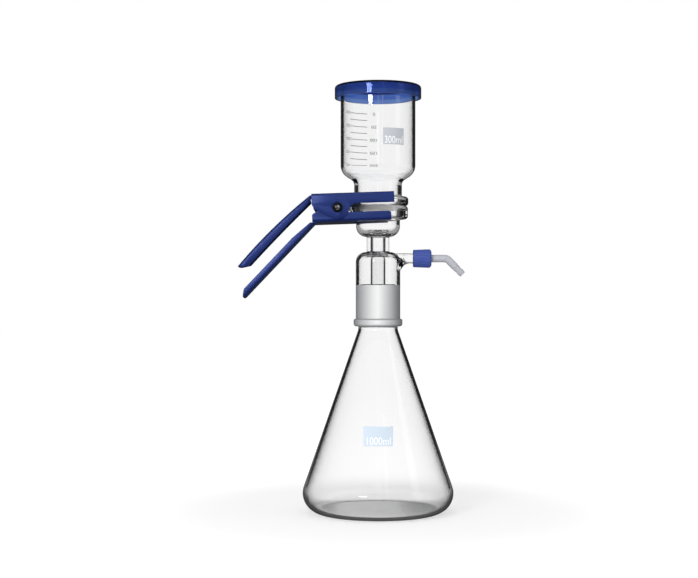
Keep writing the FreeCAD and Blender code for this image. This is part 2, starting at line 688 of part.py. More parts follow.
def lower_handle():
    start, along, outwards = handle_start(-LOWER_TAIL, LOWER_BOTTOM, LOWER_HANDLE_TURN)
    depth = LOWER_HANDLE_DEPTH + SHEET
    wire = channel_wire(HANDLE_HALF_WIDTH, 0, 1, depth, lambda v, n: start + Y_AXIS * v + outwards * n)
    bar = Part.Face(wire).extrude(along * LOWER_HANDLE_LENGTH)
    limits = lower_handle_limits(start, along, outwards)
    return bar.common(limits).common(tip_trim(start, along, outwards, LOWER_HANDLE_LENGTH))


def upper_handle():
    """The upper handle: a channel that curves gently, its flanges cut to a bowed lower edge."""
    start, along, outwards = handle_start(-LEVER_TAIL, UPPER_SEAT, UPPER_HANDLE_TURN)
    arc = math.radians(UPPER_HANDLE_BOW_ANGLE)
    length = UPPER_HANDLE_LENGTH
    radius = length / arc
    shallow, deep = UPPER_HANDLE_ROOT_DEPTH, UPPER_HANDLE_DEPTH
    centre = start - outwards * (radius - SHEET)
    across = Y_AXIS * (HANDLE_HALF_WIDTH + EXTRA)

    def at(s, n):
        """Point at length s along the curved back and height n over it, at the near side."""
        turn = s / radius
        return centre + (outwards * math.cos(turn) + along * math.sin(turn)) * (radius + n) - across

    wire = channel_wire(HANDLE_HALF_WIDTH, 0, -1, deep + SHEET,
                        lambda v, n: start + Y_AXIS * v + outwards * (n + SHEET))
    bar = Part.Face(wire).revolve(centre, Y_AXIS, -UPPER_HANDLE_BOW_ANGLE)
    tip_start = length - deep
    limits = Part.Wire([
        Part.Arc(at(0, SHEET), at(length / 2, SHEET), at(length, SHEET)).toShape(),
        Part.LineSegment(at(length, SHEET), at(length, -SHEET)).toShape(),
        Part.LineSegment(at(length, -SHEET), at(tip_start, -deep)).toShape(),
        Part.Arc(at(tip_start, -deep), at(tip_start / 2, -deep), at(HANDLE_ROOT_RUN, -shallow)).toShape(),
        Part.LineSegment(at(HANDLE_ROOT_RUN, -shallow), at(0, -SHEET)).toShape(),
        Part.LineSegment(at(0, -SHEET), at(0, SHEET)).toShape(),
    ])
    bar = bar.common(Part.Face(limits).extrude(across * 2))
    tip_along = along * math.cos(arc) - outwards * math.sin(arc)
    tip_out = outwards * math.cos(arc) + along * math.sin(arc)
    trim = tip_trim(at(length, 0) + across - tip_along * length, tip_along, tip_out, length)
    return bar.common(trim)


def upper_channel():
    """The upper lever's channel, its ears set out where they carry the screw."""
    def section(half, u):
        return channel_wire(half, UPPER_TOP, -1, 2 * UPPER_TOP, lambda v, w: Vector(u, v, w))

    joggle_end = JOGGLE_START + JOGGLE_LENGTH
    front = Part.Face(section(UPPER_HALF_WIDTH, joggle_end)).extrude(X_AXIS * (UPPER_JAW_LENGTH - joggle_end))
    back = Part.Face(section(EAR_HALF_WIDTH, -LEVER_TAIL)).extrude(X_AXIS * (LEVER_TAIL + JOGGLE_START))
    wide, narrow = section(EAR_HALF_WIDTH, JOGGLE_START), section(UPPER_HALF_WIDTH, joggle_end)
    joggle = Part.makeLoft([wide, narrow], True, True)
    return back.fuse([joggle, front])


def clamp_upper_lever():
    ear_corner = (-UPPER_EAR_BACK, -UPPER_EAR_DROP)
    lobe_w = tangent_corner(ear_corner, UPPER_LOBE, UPPER_LOBE, False)
    side = side_prism([
        (-LEVER_TAIL, UPPER_TOP + EXTRA, 0),
        (UPPER_JAW_LENGTH, UPPER_TOP + EXTRA, 0),
        (UPPER_JAW_LENGTH, UPPER_WALL_EDGE, JAW_CORNER),
        (UPPER_LOBE, UPPER_WALL_EDGE, LOBE_BLEND),
        (UPPER_LOBE, lobe_w, UPPER_LOBE),
        (*ear_corner, EAR_CORNER),
        (-LEVER_TAIL, UPPER_EAR_NOTCH, JAW_CORNER),
    ], EAR_HALF_WIDTH + EXTRA)
    jaw = upper_channel().common(side).cut(fork_slot()).cut(pivot_hole())
    bend = handle_bend(-LEVER_TAIL, UPPER_SEAT, UPPER_HANDLE_TURN)
    return placed_clamp(one_solid(jaw.fuse([bend, upper_handle()])))


def clamp_lower_lever():
    """The lower lever: its walls pass between the upper lever's."""
    depth = LOWER_LOBE - LOWER_BOTTOM + SHEET
    wire = channel_wire(LOWER_HALF_WIDTH, LOWER_BOTTOM, 1, depth, lambda v, w: Vector(-LEVER_TAIL, v, w))
    channel = Part.Face(wire).extrude(X_AXIS * (LEVER_TAIL + LOWER_JAW_LENGTH))
    ear_corner = (-LOWER_EAR_BACK, -LOWER_EAR_DROP)
    lobe_w = tangent_corner(ear_corner, LOWER_LOBE, LOWER_LOBE, True)
    side = side_prism([
        (-LEVER_TAIL, LOWER_BOTTOM - EXTRA, 0),
        (-LEVER_TAIL, -LOWER_EAR_NOTCH, JAW_CORNER),
        (*ear_corner, JAW_CORNER),
        (LOWER_LOBE, lobe_w, LOWER_LOBE),
        (LOWER_LOBE, -LOWER_WALL_EDGE, EAR_CORNER),
        (LOWER_JAW_LENGTH, -LOWER_WALL_EDGE, LOWER_JAW_CORNER),
        (LOWER_JAW_LENGTH, LOWER_BOTTOM - EXTRA, 0),
    ], LOWER_HALF_WIDTH + EXTRA)
    jaw = channel.common(side).cut(fork_slot()).cut(pivot_hole())
    behind = LEVER_TAIL - LOWER_TAIL + EXTRA
    web_half = LOWER_HALF_WIDTH - SHEET - BEND_INSIDE
    plate_end = Part.makeBox(behind, 2 * web_half, 2 * SHEET,
                             Vector(-LOWER_TAIL - behind, -web_half, LOWER_BOTTOM - SHEET / 2))
    bend = handle_bend(-LOWER_TAIL, LOWER_BOTTOM, LOWER_HANDLE_TURN)
    return placed_clamp(one_solid(jaw.cut(plate_end).fuse([bend, lower_handle()])))


def pivot_screw():
    """Cheese-head screw with a socket, its head on the near ear and its end proud of the nut."""
    head_y = -(EAR_HALF_WIDTH + LEVER_GAP)
    end_y = EAR_HALF_WIDTH + LEVER_GAP + NUT_HEIGHT + SCREW_END
    shank = Part.makeCylinder(SCREW_RADIUS, end_y - head_y, Vector(0, head_y, 0), Y_AXIS)
    head = Part.makeCylinder(SCREW_HEAD_RADIUS, SCREW_HEAD_HEIGHT, Vector(0, head_y, 0), -Y_AXIS)
    rim = min(head.Edges, key=lambda edge: edge.CenterOfMass.y)
    head = head.makeFillet(SCREW_HEAD_ROUND, [rim])
    socket = Part.makeCylinder(SCREW_SOCKET_RADIUS, SCREW_SOCKET_DEPTH + EXTRA,
                               Vector(0, head_y - SCREW_HEAD_HEIGHT - EXTRA, 0), Y_AXIS)
    return placed_clamp(one_solid(shank.fuse(head).cut(socket)))


def pivot_nut():
    corner = NUT_ACROSS_FLATS / 2 / math.cos(math.pi / NUT_SIDES)
    y = EAR_HALF_WIDTH + LEVER_GAP
    turns = [2 * math.pi * i / NUT_SIDES for i in range(NUT_SIDES + 1)]
    points = [Vector(corner * math.cos(turn), y, corner * math.sin(turn)) for turn in turns]
    block = Part.Face(Part.makePolygon(points)).extrude(Y_AXIS * NUT_HEIGHT)
    bore = Part.makeCylinder(SCREW_RADIUS, NUT_HEIGHT + 2 * EXTRA, Vector(0, y - EXTRA, 0), Y_AXIS)
    return placed_clamp(block.cut(bore))


def pivot_sleeve():
    """Spacer tube that keeps the lower lever's ears apart and carries the spring."""
    half = LOWER_HALF_WIDTH - SHEET
    tube = Part.makeCylinder(SLEEVE_RADIUS, 2 * half, Vector(0, -half, 0), Y_AXIS)
    return placed_clamp(tube.cut(pivot_hole()))


def spring_leg(height, rising):
    """Tangent point on the coil and end of a leg that lies against a jaw plate behind the pivot."""
    end = Vector(-SPRING_LEG_REACH, 0, height)
    away = math.hypot(end.x, end.z)
    towards = math.atan2(-end.z, -end.x)
    lean = math.asin(SPRING_COIL_RADIUS / away)
    direction = towards + lean if rising else towards - lean
    length = math.sqrt(away ** 2 - SPRING_COIL_RADIUS ** 2)
    touch = end + Vector(math.cos(direction), 0, math.sin(direction)) * length
    return touch, end


def clamp_spring():
    """Torsion spring on the sleeve: its legs push the tails of the levers apart and so close the jaws."""
    top_touch, top_end = spring_leg(UPPER_SEAT - SPRING_WIRE_RADIUS - SEAT_GAP, True)
    low_touch, low_end = spring_leg(LOWER_SEAT + SPRING_WIRE_RADIUS, False)
    first = math.atan2(top_touch.z, top_touch.x)
    last = math.atan2(low_touch.z, low_touch.x)
    sweep = SPRING_TURNS + ((first - last) % (2 * math.pi)) / (2 * math.pi)
    height = SPRING_PITCH * sweep
    helix = Part.makeHelix(SPRING_PITCH, height, SPRING_COIL_RADIUS)
    section = Part.Wire(Part.makeCircle(SPRING_WIRE_RADIUS, Vector(SPRING_COIL_RADIUS, 0, 0), Y_AXIS))
    coil = Part.Wire(helix).makePipeShell([section], True, True)
    coil.rotate(Vector(0, 0, 0), X_AXIS, 90)
    coil.translate(Y_AXIS * (height / 2))
    coil.rotate(Vector(0, 0, 0), Y_AXIS, -math.degrees(last))
    pieces = []
    for touch, end, y in ((low_touch, low_end, height / 2), (top_touch, top_end, -height / 2)):
        foot = touch + Y_AXIS * y
        run = end - touch
        pieces.append(Part.makeCylinder(SPRING_WIRE_RADIUS, run.Length, foot, run))
        pieces.append(Part.makeSphere(SPRING_WIRE_RADIUS, foot))
    return placed_clamp(one_solid(coil.fuse(pieces)))


# ---------------------------------------------------------------------------
# All pieces, one file each
# ---------------------------------------------------------------------------

PIECES = {
    "conical_flask": conical_flask,
    "filter_base": filter_base,
    "drip_tube": drip_tube,
    "sintered_disc": sintered_disc,
    "graduated_funnel": graduated_funnel,
    "funnel_lid": funnel_lid,
    "nozzle_seal": nozzle_seal,
    "hose_screw_cap": hose_screw_cap,
    "hose_nozzle": hose_nozzle,
    "clamp_upper_lever": clamp_upper_lever,
    "clamp_lower_lever": clamp_lower_lever,
    "pivot_screw": pivot_screw,
    "pivot_nut": pivot_nut,
    "pivot_sleeve": pivot_sleeve,
    "clamp_spring": clamp_spring,
}

os.makedirs("parts", exist_ok=True)
for name, make in PIECES.items():
    shape = make()
    state = "valid" if shape.isValid() else "INVALID"
    print(name, len(shape.Solids), "solid", state, round(shape.Volume), "mm3")
    shape.exportStep("parts/" + name + ".step")
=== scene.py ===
"""Finishes, markings and studio for a glass vacuum filtration unit.

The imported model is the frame. Its blown glass, folded sheet and moulded plastic are dressed here, the clamp's
levers and spring get finer pieces of their own, and the printed scales are laid on the glass.
"""
import enum
import logging
import math
from dataclasses import dataclass
from typing import Callable, Iterable

import bpy
from mathutils import Matrix, Vector


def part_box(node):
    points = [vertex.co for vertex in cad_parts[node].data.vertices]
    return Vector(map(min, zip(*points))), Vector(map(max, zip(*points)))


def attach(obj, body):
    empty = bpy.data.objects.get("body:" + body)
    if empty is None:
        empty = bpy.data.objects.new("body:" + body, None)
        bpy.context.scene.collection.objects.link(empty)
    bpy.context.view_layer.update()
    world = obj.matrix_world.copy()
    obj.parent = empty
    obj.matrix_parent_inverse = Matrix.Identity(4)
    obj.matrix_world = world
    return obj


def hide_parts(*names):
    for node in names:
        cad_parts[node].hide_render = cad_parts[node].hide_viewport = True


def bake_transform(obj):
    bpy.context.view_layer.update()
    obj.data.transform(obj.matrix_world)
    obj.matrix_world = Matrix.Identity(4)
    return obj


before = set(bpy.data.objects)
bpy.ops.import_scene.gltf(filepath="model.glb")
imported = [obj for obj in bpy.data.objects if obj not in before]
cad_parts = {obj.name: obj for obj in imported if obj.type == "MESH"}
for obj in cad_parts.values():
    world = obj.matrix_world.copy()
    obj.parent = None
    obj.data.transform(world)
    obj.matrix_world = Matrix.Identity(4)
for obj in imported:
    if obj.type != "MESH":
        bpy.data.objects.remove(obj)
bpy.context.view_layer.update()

log = logging.getLogger("filtration_unit")
MM = 0.001

Piece = bpy.types.Object
Material = bpy.types.Material
Socket = bpy.types.NodeSocket
Tree = bpy.types.NodeTree
Span = tuple[float, float]


# ---- Colours, nodes and pattern scales

NOISE_SPAN = (0.2, 0.8)  # where nearly all of a noise pattern's values lie
EASED = {"interpolation_type": "SMOOTHSTEP"}  # for MapRange: a change with soft ends
COLOURS = {"data_type": "RGBA", "out": 2}  # for Mix: its colours are inputs 6 and 7, and numbers 2 and 3


def linear(hex_colour: str) -> tuple[float, float, float, float]:
    """Turns an sRGB hex colour to linear.

    Args:
        hex_colour: Six hex digits after a hash.

    Returns:
        Linear red, green and blue, and full opacity.
    """
    digits = hex_colour.lstrip("#")
    channels = [int(digits[i:i + 2], 16) / 255 for i in (0, 2, 4)]
    red, green, blue = (c / 12.92 if c <= 0.04045 else ((c + 0.055) / 1.055) ** 2.4 for c in channels)
    return red, green, blue, 1.0


def per_metre(size_mm: float) -> float:
    """Pattern scale whose features are size_mm apart on Object coordinates."""
    return 1.0 / (size_mm * MM)


def add_node(tree: Tree, kind: str, inputs: dict | tuple = (), out: int | str = 0,
             **settings: object) -> Socket:
    """Adds a shader node with its settings, values and links.

    Args:
        tree: Node tree that gets the node.
        kind: Blender's name of the node type, without the ShaderNode in front.
        inputs: A value or a socket to link from for each input, in their order or by name or number.
        out: Name or number of the output that is wanted.
        **settings: Properties of the node itself.

    Returns:
        That output, whose node has the others.
    """
    node = tree.nodes.new("ShaderNode" + kind)
    for name, value in settings.items():
        setattr(node, name, value)
    for key, value in (inputs if isinstance(inputs, dict) else dict(enumerate(inputs))).items():
        if isinstance(value, Socket):
            tree.links.new(value, node.inputs[key])
        else:
            node.inputs[key].default_value = value
    return node.outputs[out]


class Surface:
    """A material under construction: its tree, its one Principled shader and its relief."""

    def __init__(self, name: str) -> None:
        """Starts an empty material.

        Args:
            name: Its name.
        """
        self.material = bpy.data.materials.new(name)
        self.material.use_nodes = True
        self.tree = self.material.node_tree
        self.shader = self.tree.nodes["Principled BSDF"]
        self.place = add_node(self.tree, "TexCoord", out="Object")
        self.bump: Socket | None = None

    def set(self, **sockets: object) -> "Surface":
        """Sets or links the shader's sockets.

        Args:
            **sockets: Their names, with underscores for spaces, and their values or the sockets to link from.

        Returns:
            The surface itself.
        """
        for name, value in sockets.items():
            socket = self.shader.inputs[name.replace("_", " ")]
            if isinstance(value, Socket):
                self.tree.links.new(value, socket)
            else:
                socket.default_value = value
        return self

    def radius_and_height(self) -> tuple[Socket, Socket]:
        """Finds where a point of the surface is.

        Returns:
            Distance from the glass axis and height above the bench, in metres.
        """
        parts = add_node(self.tree, "SeparateXYZ", (self.place,)).node.outputs
        flat = add_node(self.tree, "CombineXYZ", (parts["X"], parts["Y"]))
        return add_node(self.tree, "VectorMath", (flat,), out="Value", operation="LENGTH"), parts["Z"]

    def mottled(self, pattern: Socket, span: Span, share: float, body: str, other: str) -> Socket:
        """Colour that changes with a pattern.

        Args:
            pattern: What decides between the colours.
            span: Where in the pattern the change begins and ends.
            share: How far the change goes towards the other colour.
            body: Hex colour before the change.
            other: Hex colour after it.

        Returns:
            The colour.
        """
        factor = add_node(self.tree, "MapRange", (pattern, *span, 0, share), **EASED)
        return add_node(self.tree, "Mix", {0: factor, 6: linear(body), 7: linear(other)}, **COLOURS)

    def relief(self, height: Socket, depth_mm: float, strength: float) -> "Surface":
        """Adds a bump on top of those there are.

        Args:
            height: Pattern from 0 to 1.
            depth_mm: How far it stands out at 1.
            strength: Share of that which is felt.

        Returns:
            The surface itself.
        """
        inputs = {"Height": height, "Distance": depth_mm * MM, "Strength": strength}
        if self.bump is not None:
            inputs["Normal"] = self.bump
        self.bump = add_node(self.tree, "Bump", inputs)
        return self.set(Normal=self.bump)


# ---- Finishes. A span is where a pattern's change from one look to the other begins and ends.

@dataclass(frozen=True)
class GroundBand:
    """A zone of the glass that is ground matt: between two heights and two radii, in millimetres.

    The radius limits follow the joint's taper, as radius lost per unit of height above low_z.
    """

    low_z: float
    high_z: float
    low_radius: float
    high_radius: float
    taper: float = 0.0
    fade: float = 0.35  # to either side of both ends, where the grinding runs out

    def mask(self, surface: Surface) -> Socket:
        """Finds the zone, with ends that fade as a grinding does.

        Args:
            surface: Glass that has it.

        Returns:
            1 inside the zone, 0 outside it.
        """
        tree = surface.tree
        radius, height = surface.radius_and_height()
        low, high, fade = self.low_z * MM, self.high_z * MM, self.fade * MM
        rise = add_node(tree, "Math", (height, low), operation="SUBTRACT")
        straight = add_node(tree, "Math", (rise, self.taper, radius), operation="MULTIPLY_ADD")
        above = add_node(tree, "MapRange", (height, low - fade, low + fade, 0, 1), **EASED)
        below = add_node(tree, "MapRange", (height, high - fade, high + fade, 1, 0), **EASED)
        outside = add_node(tree, "Math", (straight, self.low_radius * MM), operation="GREATER_THAN")
        inside = add_node(tree, "Math", (straight, self.high_radius * MM), operation="LESS_THAN")
        between = add_node(tree, "Math", (above, below), operation="MULTIPLY")
        ring = add_node(tree, "Math", (outside, inside), operation="MULTIPLY")
        return add_node(tree, "Math", (between, ring), operation="MULTIPLY")


@dataclass(frozen=True)
class BorosilicateGlass:
    """Borosilicate 3.3, blown and lampworked: water clear, fire polished, with faint waves from the flame.

    Where the taper joint seals, it is ground with fine grit and looks like white frost.
    """

    name: str
    ground: tuple[GroundBand, ...] = ()
    tint: str = "#FFFFFF"
    # painted shade: the dark colour the glass is given at grazing angles, drawing its edges dark
    edge: str = "#3A3C40"
    edge_from: float = 0.72  # share of grazing at which painted edge shade begins to darken the clear glass, for dark surroundings seen through its edges
    ior: float = 1.473
    wave_mm: float = 26.0
    wave_depth_mm: float = 0.012
    smear_mm: float = 18.0
    smear_span: Span = (0.35, 0.8)
    smear_roughness: float = 0.02  # what rinsing leaves on the polish
    frost: str = "#FFFFFF"
    # painted shade: the grey the frost turns to as it turns away
    frost_edge: str = "#96989C"
    frost_slant: float = 0.75  # painted shade: above 0.5 the frost takes its painted edge shade sooner as it turns away
    frost_roughness: Span = (0.38, 0.6)
    frost_clearness: float = 0.18
    grit_mm: float = 0.7  # the real grit is near 0.05 mm; drawn coarser so that it shows
    grit_depth_mm: float = 0.03

    def material(self) -> Material:
        """Builds the glass, with painted dark shade at its edges and frost where it is ground.

        Returns:
            The finished material.
        """
        surface = Surface(self.name)
        tree = surface.tree
        waves = add_node(tree, "TexNoise", {
            "Vector": surface.place, "Scale": per_metre(self.wave_mm), "Detail": 1.0})
        surface.set(IOR=self.ior).relief(waves, self.wave_depth_mm, strength=0.6)
        # painted shade: the colour darkens towards grazing angles, so the glass's edges read dark
        facing = add_node(tree, "LayerWeight", {"Blend": 0.5}, out="Facing")
        clear = surface.mottled(facing, (self.edge_from, 1.0), 1, self.tint, self.edge)
        if self.ground:
            self.frost_over(surface, clear)
            return surface.material
        smear = add_node(tree, "TexNoise", {
            "Vector": surface.place, "Scale": per_metre(self.smear_mm), "Detail": 2.0})
        dulled = add_node(tree, "MapRange", (smear, *self.smear_span, 0, self.smear_roughness), **EASED)
        return surface.set(Base_Color=clear, Transmission_Weight=1.0, Roughness=dulled).material

    def frost_over(self, surface: Surface, clear: Socket) -> None:
        """Frosts the ground zones white, dull and cloudy, with painted shade that greys them as they turn away.

        Args:
            surface: Glass under construction.
            clear: Its colour outside those zones, with its painted edge shade.
        """
        tree = surface.tree
        mask, *others = [band.mask(surface) for band in self.ground]
        for zone in others:
            mask = add_node(tree, "Math", (mask, zone), operation="MAXIMUM")
        # painted shade: the frost turns grey as it turns away from view
        slant = add_node(tree, "LayerWeight", {"Blend": self.frost_slant}, out="Facing")
        turned = add_node(tree, "Math", (slant,), operation="SQRT")
        white, shade = linear(self.frost), linear(self.frost_edge)
        frost = add_node(tree, "Mix", {0: turned, 6: white, 7: shade}, **COLOURS)
        grit = add_node(tree, "TexNoise", {
            "Vector": surface.place, "Scale": per_metre(self.grit_mm), "Detail": 4.0, "Roughness": 0.7})
        mottled = add_node(tree, "MapRange", (grit, *NOISE_SPAN, *self.frost_roughness), **EASED)
        colour = add_node(tree, "Mix", {0: mask, 6: clear, 7: frost}, **COLOURS)
        surface.set(
            Base_Color=colour,
            Roughness=add_node(tree, "Math", (mask, mottled), operation="MULTIPLY"),
            Transmission_Weight=add_node(tree, "MapRange", (mask, 0, 1, 1.0, self.frost_clearness), **EASED),
        )
        scratches = add_node(tree, "Math", (grit, mask), operation="MULTIPLY")
        surface.relief(scratches, self.grit_depth_mm, strength=0.5)


@dataclass(frozen=True)
class SinteredGlass:
    """Glass grains fused to a porous disc: chalk white, dull and finely pitted."""

    name: str = "sintered_borosilicate"
    body: str = "#FFFFFE"
    pores: str = "#EEEEEC"
    grain_mm: float = 0.6  # real pores are 0.1 mm; drawn coarser so that they show
    pore_span: Span = (0.15, 0.75)
    pit_depth_mm: float = 0.03
    roughness: Span = (0.8, 0.95)
    clearness: float = 0.12
    ior: float = 1.47

    def material(self) -> Material:
        """Builds the sinter.

        Returns:
            The finished material.
        """
        surface = Surface(self.name)
        tree = surface.tree
        grains = add_node(tree, "TexVoronoi", {"Vector": surface.place, "Scale": per_metre(self.grain_mm)},
                          out="Distance")
        surface.set(
            Base_Color=surface.mottled(grains, self.pore_span, 1, self.body, self.pores),
            Roughness=add_node(tree, "MapRange", (grains, 0, 1, *self.roughness), **EASED),
            Transmission_Weight=self.clearness, IOR=self.ior,
        )
        return surface.relief(grains, self.pit_depth_mm, strength=0.4).material


@dataclass(frozen=True)
class TintedStyrene:
    """Injection-moulded polystyrene, dyed deep blue right through: glassy, clear and darker where thick."""

    name: str = "tinted_styrene"
    dye: str = "#6C90D8"
    streak: str = "#5B7DCB"
    # painted shade: near-black colour for the lid's grazing edges and its top corner
    edge: str = "#070B22"
    deep: str = "#456CC8"
    gloss: str = "#7686C8"
    thick_above: float = 418.0  # height from which the wall is doubled by the rim, in millimetres
    thick_fade: float = 1.0  # to either side of it
    edge_from: float = 0.62  # share of grazing at which painted edge shade begins to darken it; the longer way through the dyed wall accounts for part of it
    plate_span: Span = (0.5, 0.9)  # how level a face is, from the skirt to the top plate
    plate_share: float = 0.3  # how much of that painted edge shade the thin top plate shows
    top: float = 0.0  # height of the lid's top face, in metres
    radius: float = 0.0  # of the lid, in metres
    corner_mm: float = 3.4  # height of the moulded corner that is seen along its length, where dark shade is painted
    corner_dark: float = 0.5  # share of it, from the top, that is painted fully dark
    corner_depth: float = 1.3  # how far in it begins, as a share of its height
    ior: float = 1.59
    clearness: float = 0.85
    flow_mm: float = 14.0
    flow_span: Span = (0.3, 0.7)
    flow_share: float = 0.25
    flow_depth_mm: float = 0.02
    scuff_mm: float = 3.0
    scuff_span: Span = (0.3, 0.8)
    roughness: Span = (0.02, 0.07)

    def material(self) -> Material:
        """Builds the tinted plastic, with painted dark shade at its edges and along its top corner.

        Returns:
            The finished material.
        """
        surface = Surface(self.name)
        tree = surface.tree
        flow = add_node(tree, "TexNoise", {
            "Vector": surface.place, "Scale": per_metre(self.flow_mm), "Detail": 2.0})
        thin = surface.mottled(flow, self.flow_span, self.flow_share, self.dye, self.streak)
        radius, height = surface.radius_and_height()
        low, high = ((self.thick_above + fade) * MM for fade in (-self.thick_fade, self.thick_fade))
        doubled = add_node(tree, "MapRange", (height, low, high, 0, 1), **EASED)
        body = add_node(tree, "Mix", {0: doubled, 6: thin, 7: linear(self.deep)}, **COLOURS)
        # painted shade: dark edges where the wall is seen at a grazing angle, and a dark band along the top
        # corner
        corner = self.corner(tree, radius, height)
        dark = add_node(tree, "Math", (self.grazing(tree), corner), operation="MAXIMUM")
        scuffs = add_node(tree, "TexNoise", {
            "Vector": surface.place, "Scale": per_metre(self.scuff_mm), "Detail": 4.0})
        colour = add_node(tree, "Mix", {0: dark, 6: body, 7: linear(self.edge)}, **COLOURS)
        surface.set(
            Base_Color=colour,
            IOR=self.ior, Transmission_Weight=self.clearness, Specular_Tint=linear(self.gloss),
            Roughness=add_node(tree, "MapRange", (scuffs, *self.scuff_span, *self.roughness), **EASED),
        )
        return surface.relief(flow, self.flow_depth_mm, strength=0.4).material

    def grazing(self, tree: Tree) -> Socket:
        """Finds where the plastic is seen along its wall, where dark edge shade is painted, which the level top
        plate shows less.

        Args:
            tree: Node tree of the plastic.

        Returns:
            1 there, 0 where it is seen straight through.
        """
        facing = add_node(tree, "LayerWeight", {"Blend": 0.5}, out="Facing")
        turned = add_node(tree, "MapRange", (facing, self.edge_from, 1.0, 0, 1), **EASED)
        normal = add_node(tree, "NewGeometry", out="Normal")
        upwards = add_node(tree, "SeparateXYZ", (normal,), out="Z")
        level = add_node(tree, "Math", (upwards,), operation="ABSOLUTE")
        upright = add_node(tree, "MapRange", (level, *self.plate_span, 1.0, self.plate_share), **EASED)
        return add_node(tree, "Math", (turned, upright), operation="MULTIPLY")

    def corner(self, tree: Tree, radius: Socket, height: Socket) -> Socket:
        """Finds the moulded corner between the skirt and the top plate, where dark shade is painted.

        Args:
            tree: Node tree of the plastic.
            radius: Distance from the lid's axis.
            height: Height above the bench.

        Returns:
            1 in the corner, 0 elsewhere.
        """
        size = self.corner_mm * MM
        high = add_node(tree, "MapRange", (
            height, self.top - size, self.top - self.corner_dark * size, 0, 1), **EASED)
        outer = add_node(tree, "MapRange", (
            radius, self.radius - self.corner_depth * size, self.radius - size, 0, 1), **EASED)
        return add_node(tree, "Math", (high, outer), operation="MULTIPLY")


@dataclass(frozen=True)
class AnodisedAluminium:
    """Rolled aluminium sheet, folded, etched and dyed blue under a clear oxide: satin, with a fine grain."""

    name: str = "anodised_aluminium"
    dye: str = "#18317C"
    worn: str = "#1F3A87"
    grain_mm: float = 0.35
    grain_run: float = 0.06  # pattern scale along the rolling, beside 1 across it
    bath_mm: float = 22.0
    bath_span: Span = (0.35, 0.75)
    bath_share: float = 0.45  # how far the uneven bath goes towards the worn colour
    metallic: float = 0.5
    roughness: Span = (0.38, 0.44)
    oxide_gloss: float = 0.25  # the clear oxide over the dye, which shines white at a flat angle
    oxide_roughness: float = 0.32
    oxide_ior: float = 1.65

    def material(self) -> Material:
        """Builds the anodised sheet.

        Returns:
            The finished material.
        """
        surface = Surface(self.name)
        tree = surface.tree
        lengthwise = add_node(tree, "Mapping", {"Vector": surface.place, "Scale": (self.grain_run, 1.0, 1.0)})
        grain = add_node(tree, "TexNoise", {
            "Vector": lengthwise, "Scale": per_metre(self.grain_mm), "Detail": 4.0, "Roughness": 0.65})
        bath = add_node(tree, "TexNoise", {
            "Vector": surface.place, "Scale": per_metre(self.bath_mm), "Detail": 3.0})
        surface.set(
            Base_Color=surface.mottled(bath, self.bath_span, self.bath_share, self.dye, self.worn),
            Metallic=self.metallic,
            Roughness=add_node(tree, "MapRange", (grain, *NOISE_SPAN, *self.roughness), **EASED),
            Coat_Weight=self.oxide_gloss, Coat_Roughness=self.oxide_roughness, Coat_IOR=self.oxide_ior,
        )
        return surface.material


@dataclass(frozen=True)
class SteelWire:
    """Hard-drawn spring wire: bright grey, with draw lines along it."""

    name: str = "spring_wire"
    metal: str = "#B9BBBF"
    line_mm: float = 0.25
    line_run: float = 0.2  # pattern scale along the lines, beside 1 across them
    line_depth_mm: float = 0.01
    roughness: Span = (0.22, 0.4)

    def material(self) -> Material:
        """Builds the wire.

        Returns:
            The finished material.
        """
        surface = Surface(self.name)
        tree = surface.tree
        drawn = add_node(tree, "Mapping", {"Vector": surface.place, "Scale": (1.0, self.line_run, 1.0)})
        lines = add_node(tree, "TexNoise", {"Vector": drawn, "Scale": per_metre(self.line_mm), "Detail": 3.0})
        surface.set(
            Base_Color=linear(self.metal), Metallic=1.0,
            Roughness=add_node(tree, "MapRange", (lines, *NOISE_SPAN, *self.roughness), **EASED),
        )
        return surface.relief(lines, self.line_depth_mm, strength=0.4).material


@dataclass(frozen=True)
class BlackenedSteel:
    """Black-oxide machine screw: near black, semi-matt, with a patchy highlight painted in its recess."""

    name: str = "black_oxide_steel"
    oxide: str = "#17181B"
    # painted highlight: bright metal colour in the recess, standing in for the highlights seen in it
    bare: str = "#C9CACD"
    grain_mm: float = 0.4
    grain_depth_mm: float = 0.02
    rub_mm: float = 2.4
    rub_span: Span = (0.42, 0.52)
    worn_radius_mm: float = 0.0
    worn_fade_mm: float = 0.2
    axis: Span = (0.0, 0.0)  # where the screw's axis crosses X and Z, in metres
    metallic: float = 0.8
    roughness: Span = (0.3, 0.5)

    def material(self) -> Material:
        """Builds the blackened steel.

        Returns:
            The finished material.
        """
        surface = Surface(self.name)
        tree = surface.tree
        grain = add_node(tree, "TexNoise", {
            "Vector": surface.place, "Scale": per_metre(self.grain_mm), "Detail": 4.0})
        centre = (self.axis[0], 0, self.axis[1])
        offset = add_node(tree, "VectorMath", (surface.place, centre), operation="SUBTRACT")
        flat = add_node(tree, "VectorMath", (offset, (1, 0, 1)), operation="MULTIPLY")
        radius = add_node(tree, "VectorMath", (flat,), out="Value", operation="LENGTH")
        # painted highlight: the recess turns bright in patches
        near = add_node(tree, "MapRange", (
            radius, (self.worn_radius_mm - self.worn_fade_mm) * MM, self.worn_radius_mm * MM, 1, 0), **EASED)
        highlight_noise = add_node(tree, "TexNoise", {
            "Vector": surface.place, "Scale": per_metre(self.rub_mm), "Detail": 1.0})
        highlight_patches = add_node(tree, "MapRange", (highlight_noise, *self.rub_span, 0, 1), **EASED)
        painted_highlight_mask = add_node(tree, "Math", (highlight_patches, near), operation="MULTIPLY")
        colour = add_node(tree, "Mix", {0: painted_highlight_mask, 6: linear(self.oxide), 7: linear(self.bare)}, **COLOURS)
        surface.set(
            Base_Color=colour,
            Metallic=self.metallic,
            Roughness=add_node(tree, "MapRange", (grain, *NOISE_SPAN, *self.roughness), **EASED),
        )
        return surface.relief(grain, self.grain_depth_mm, strength=0.4).material


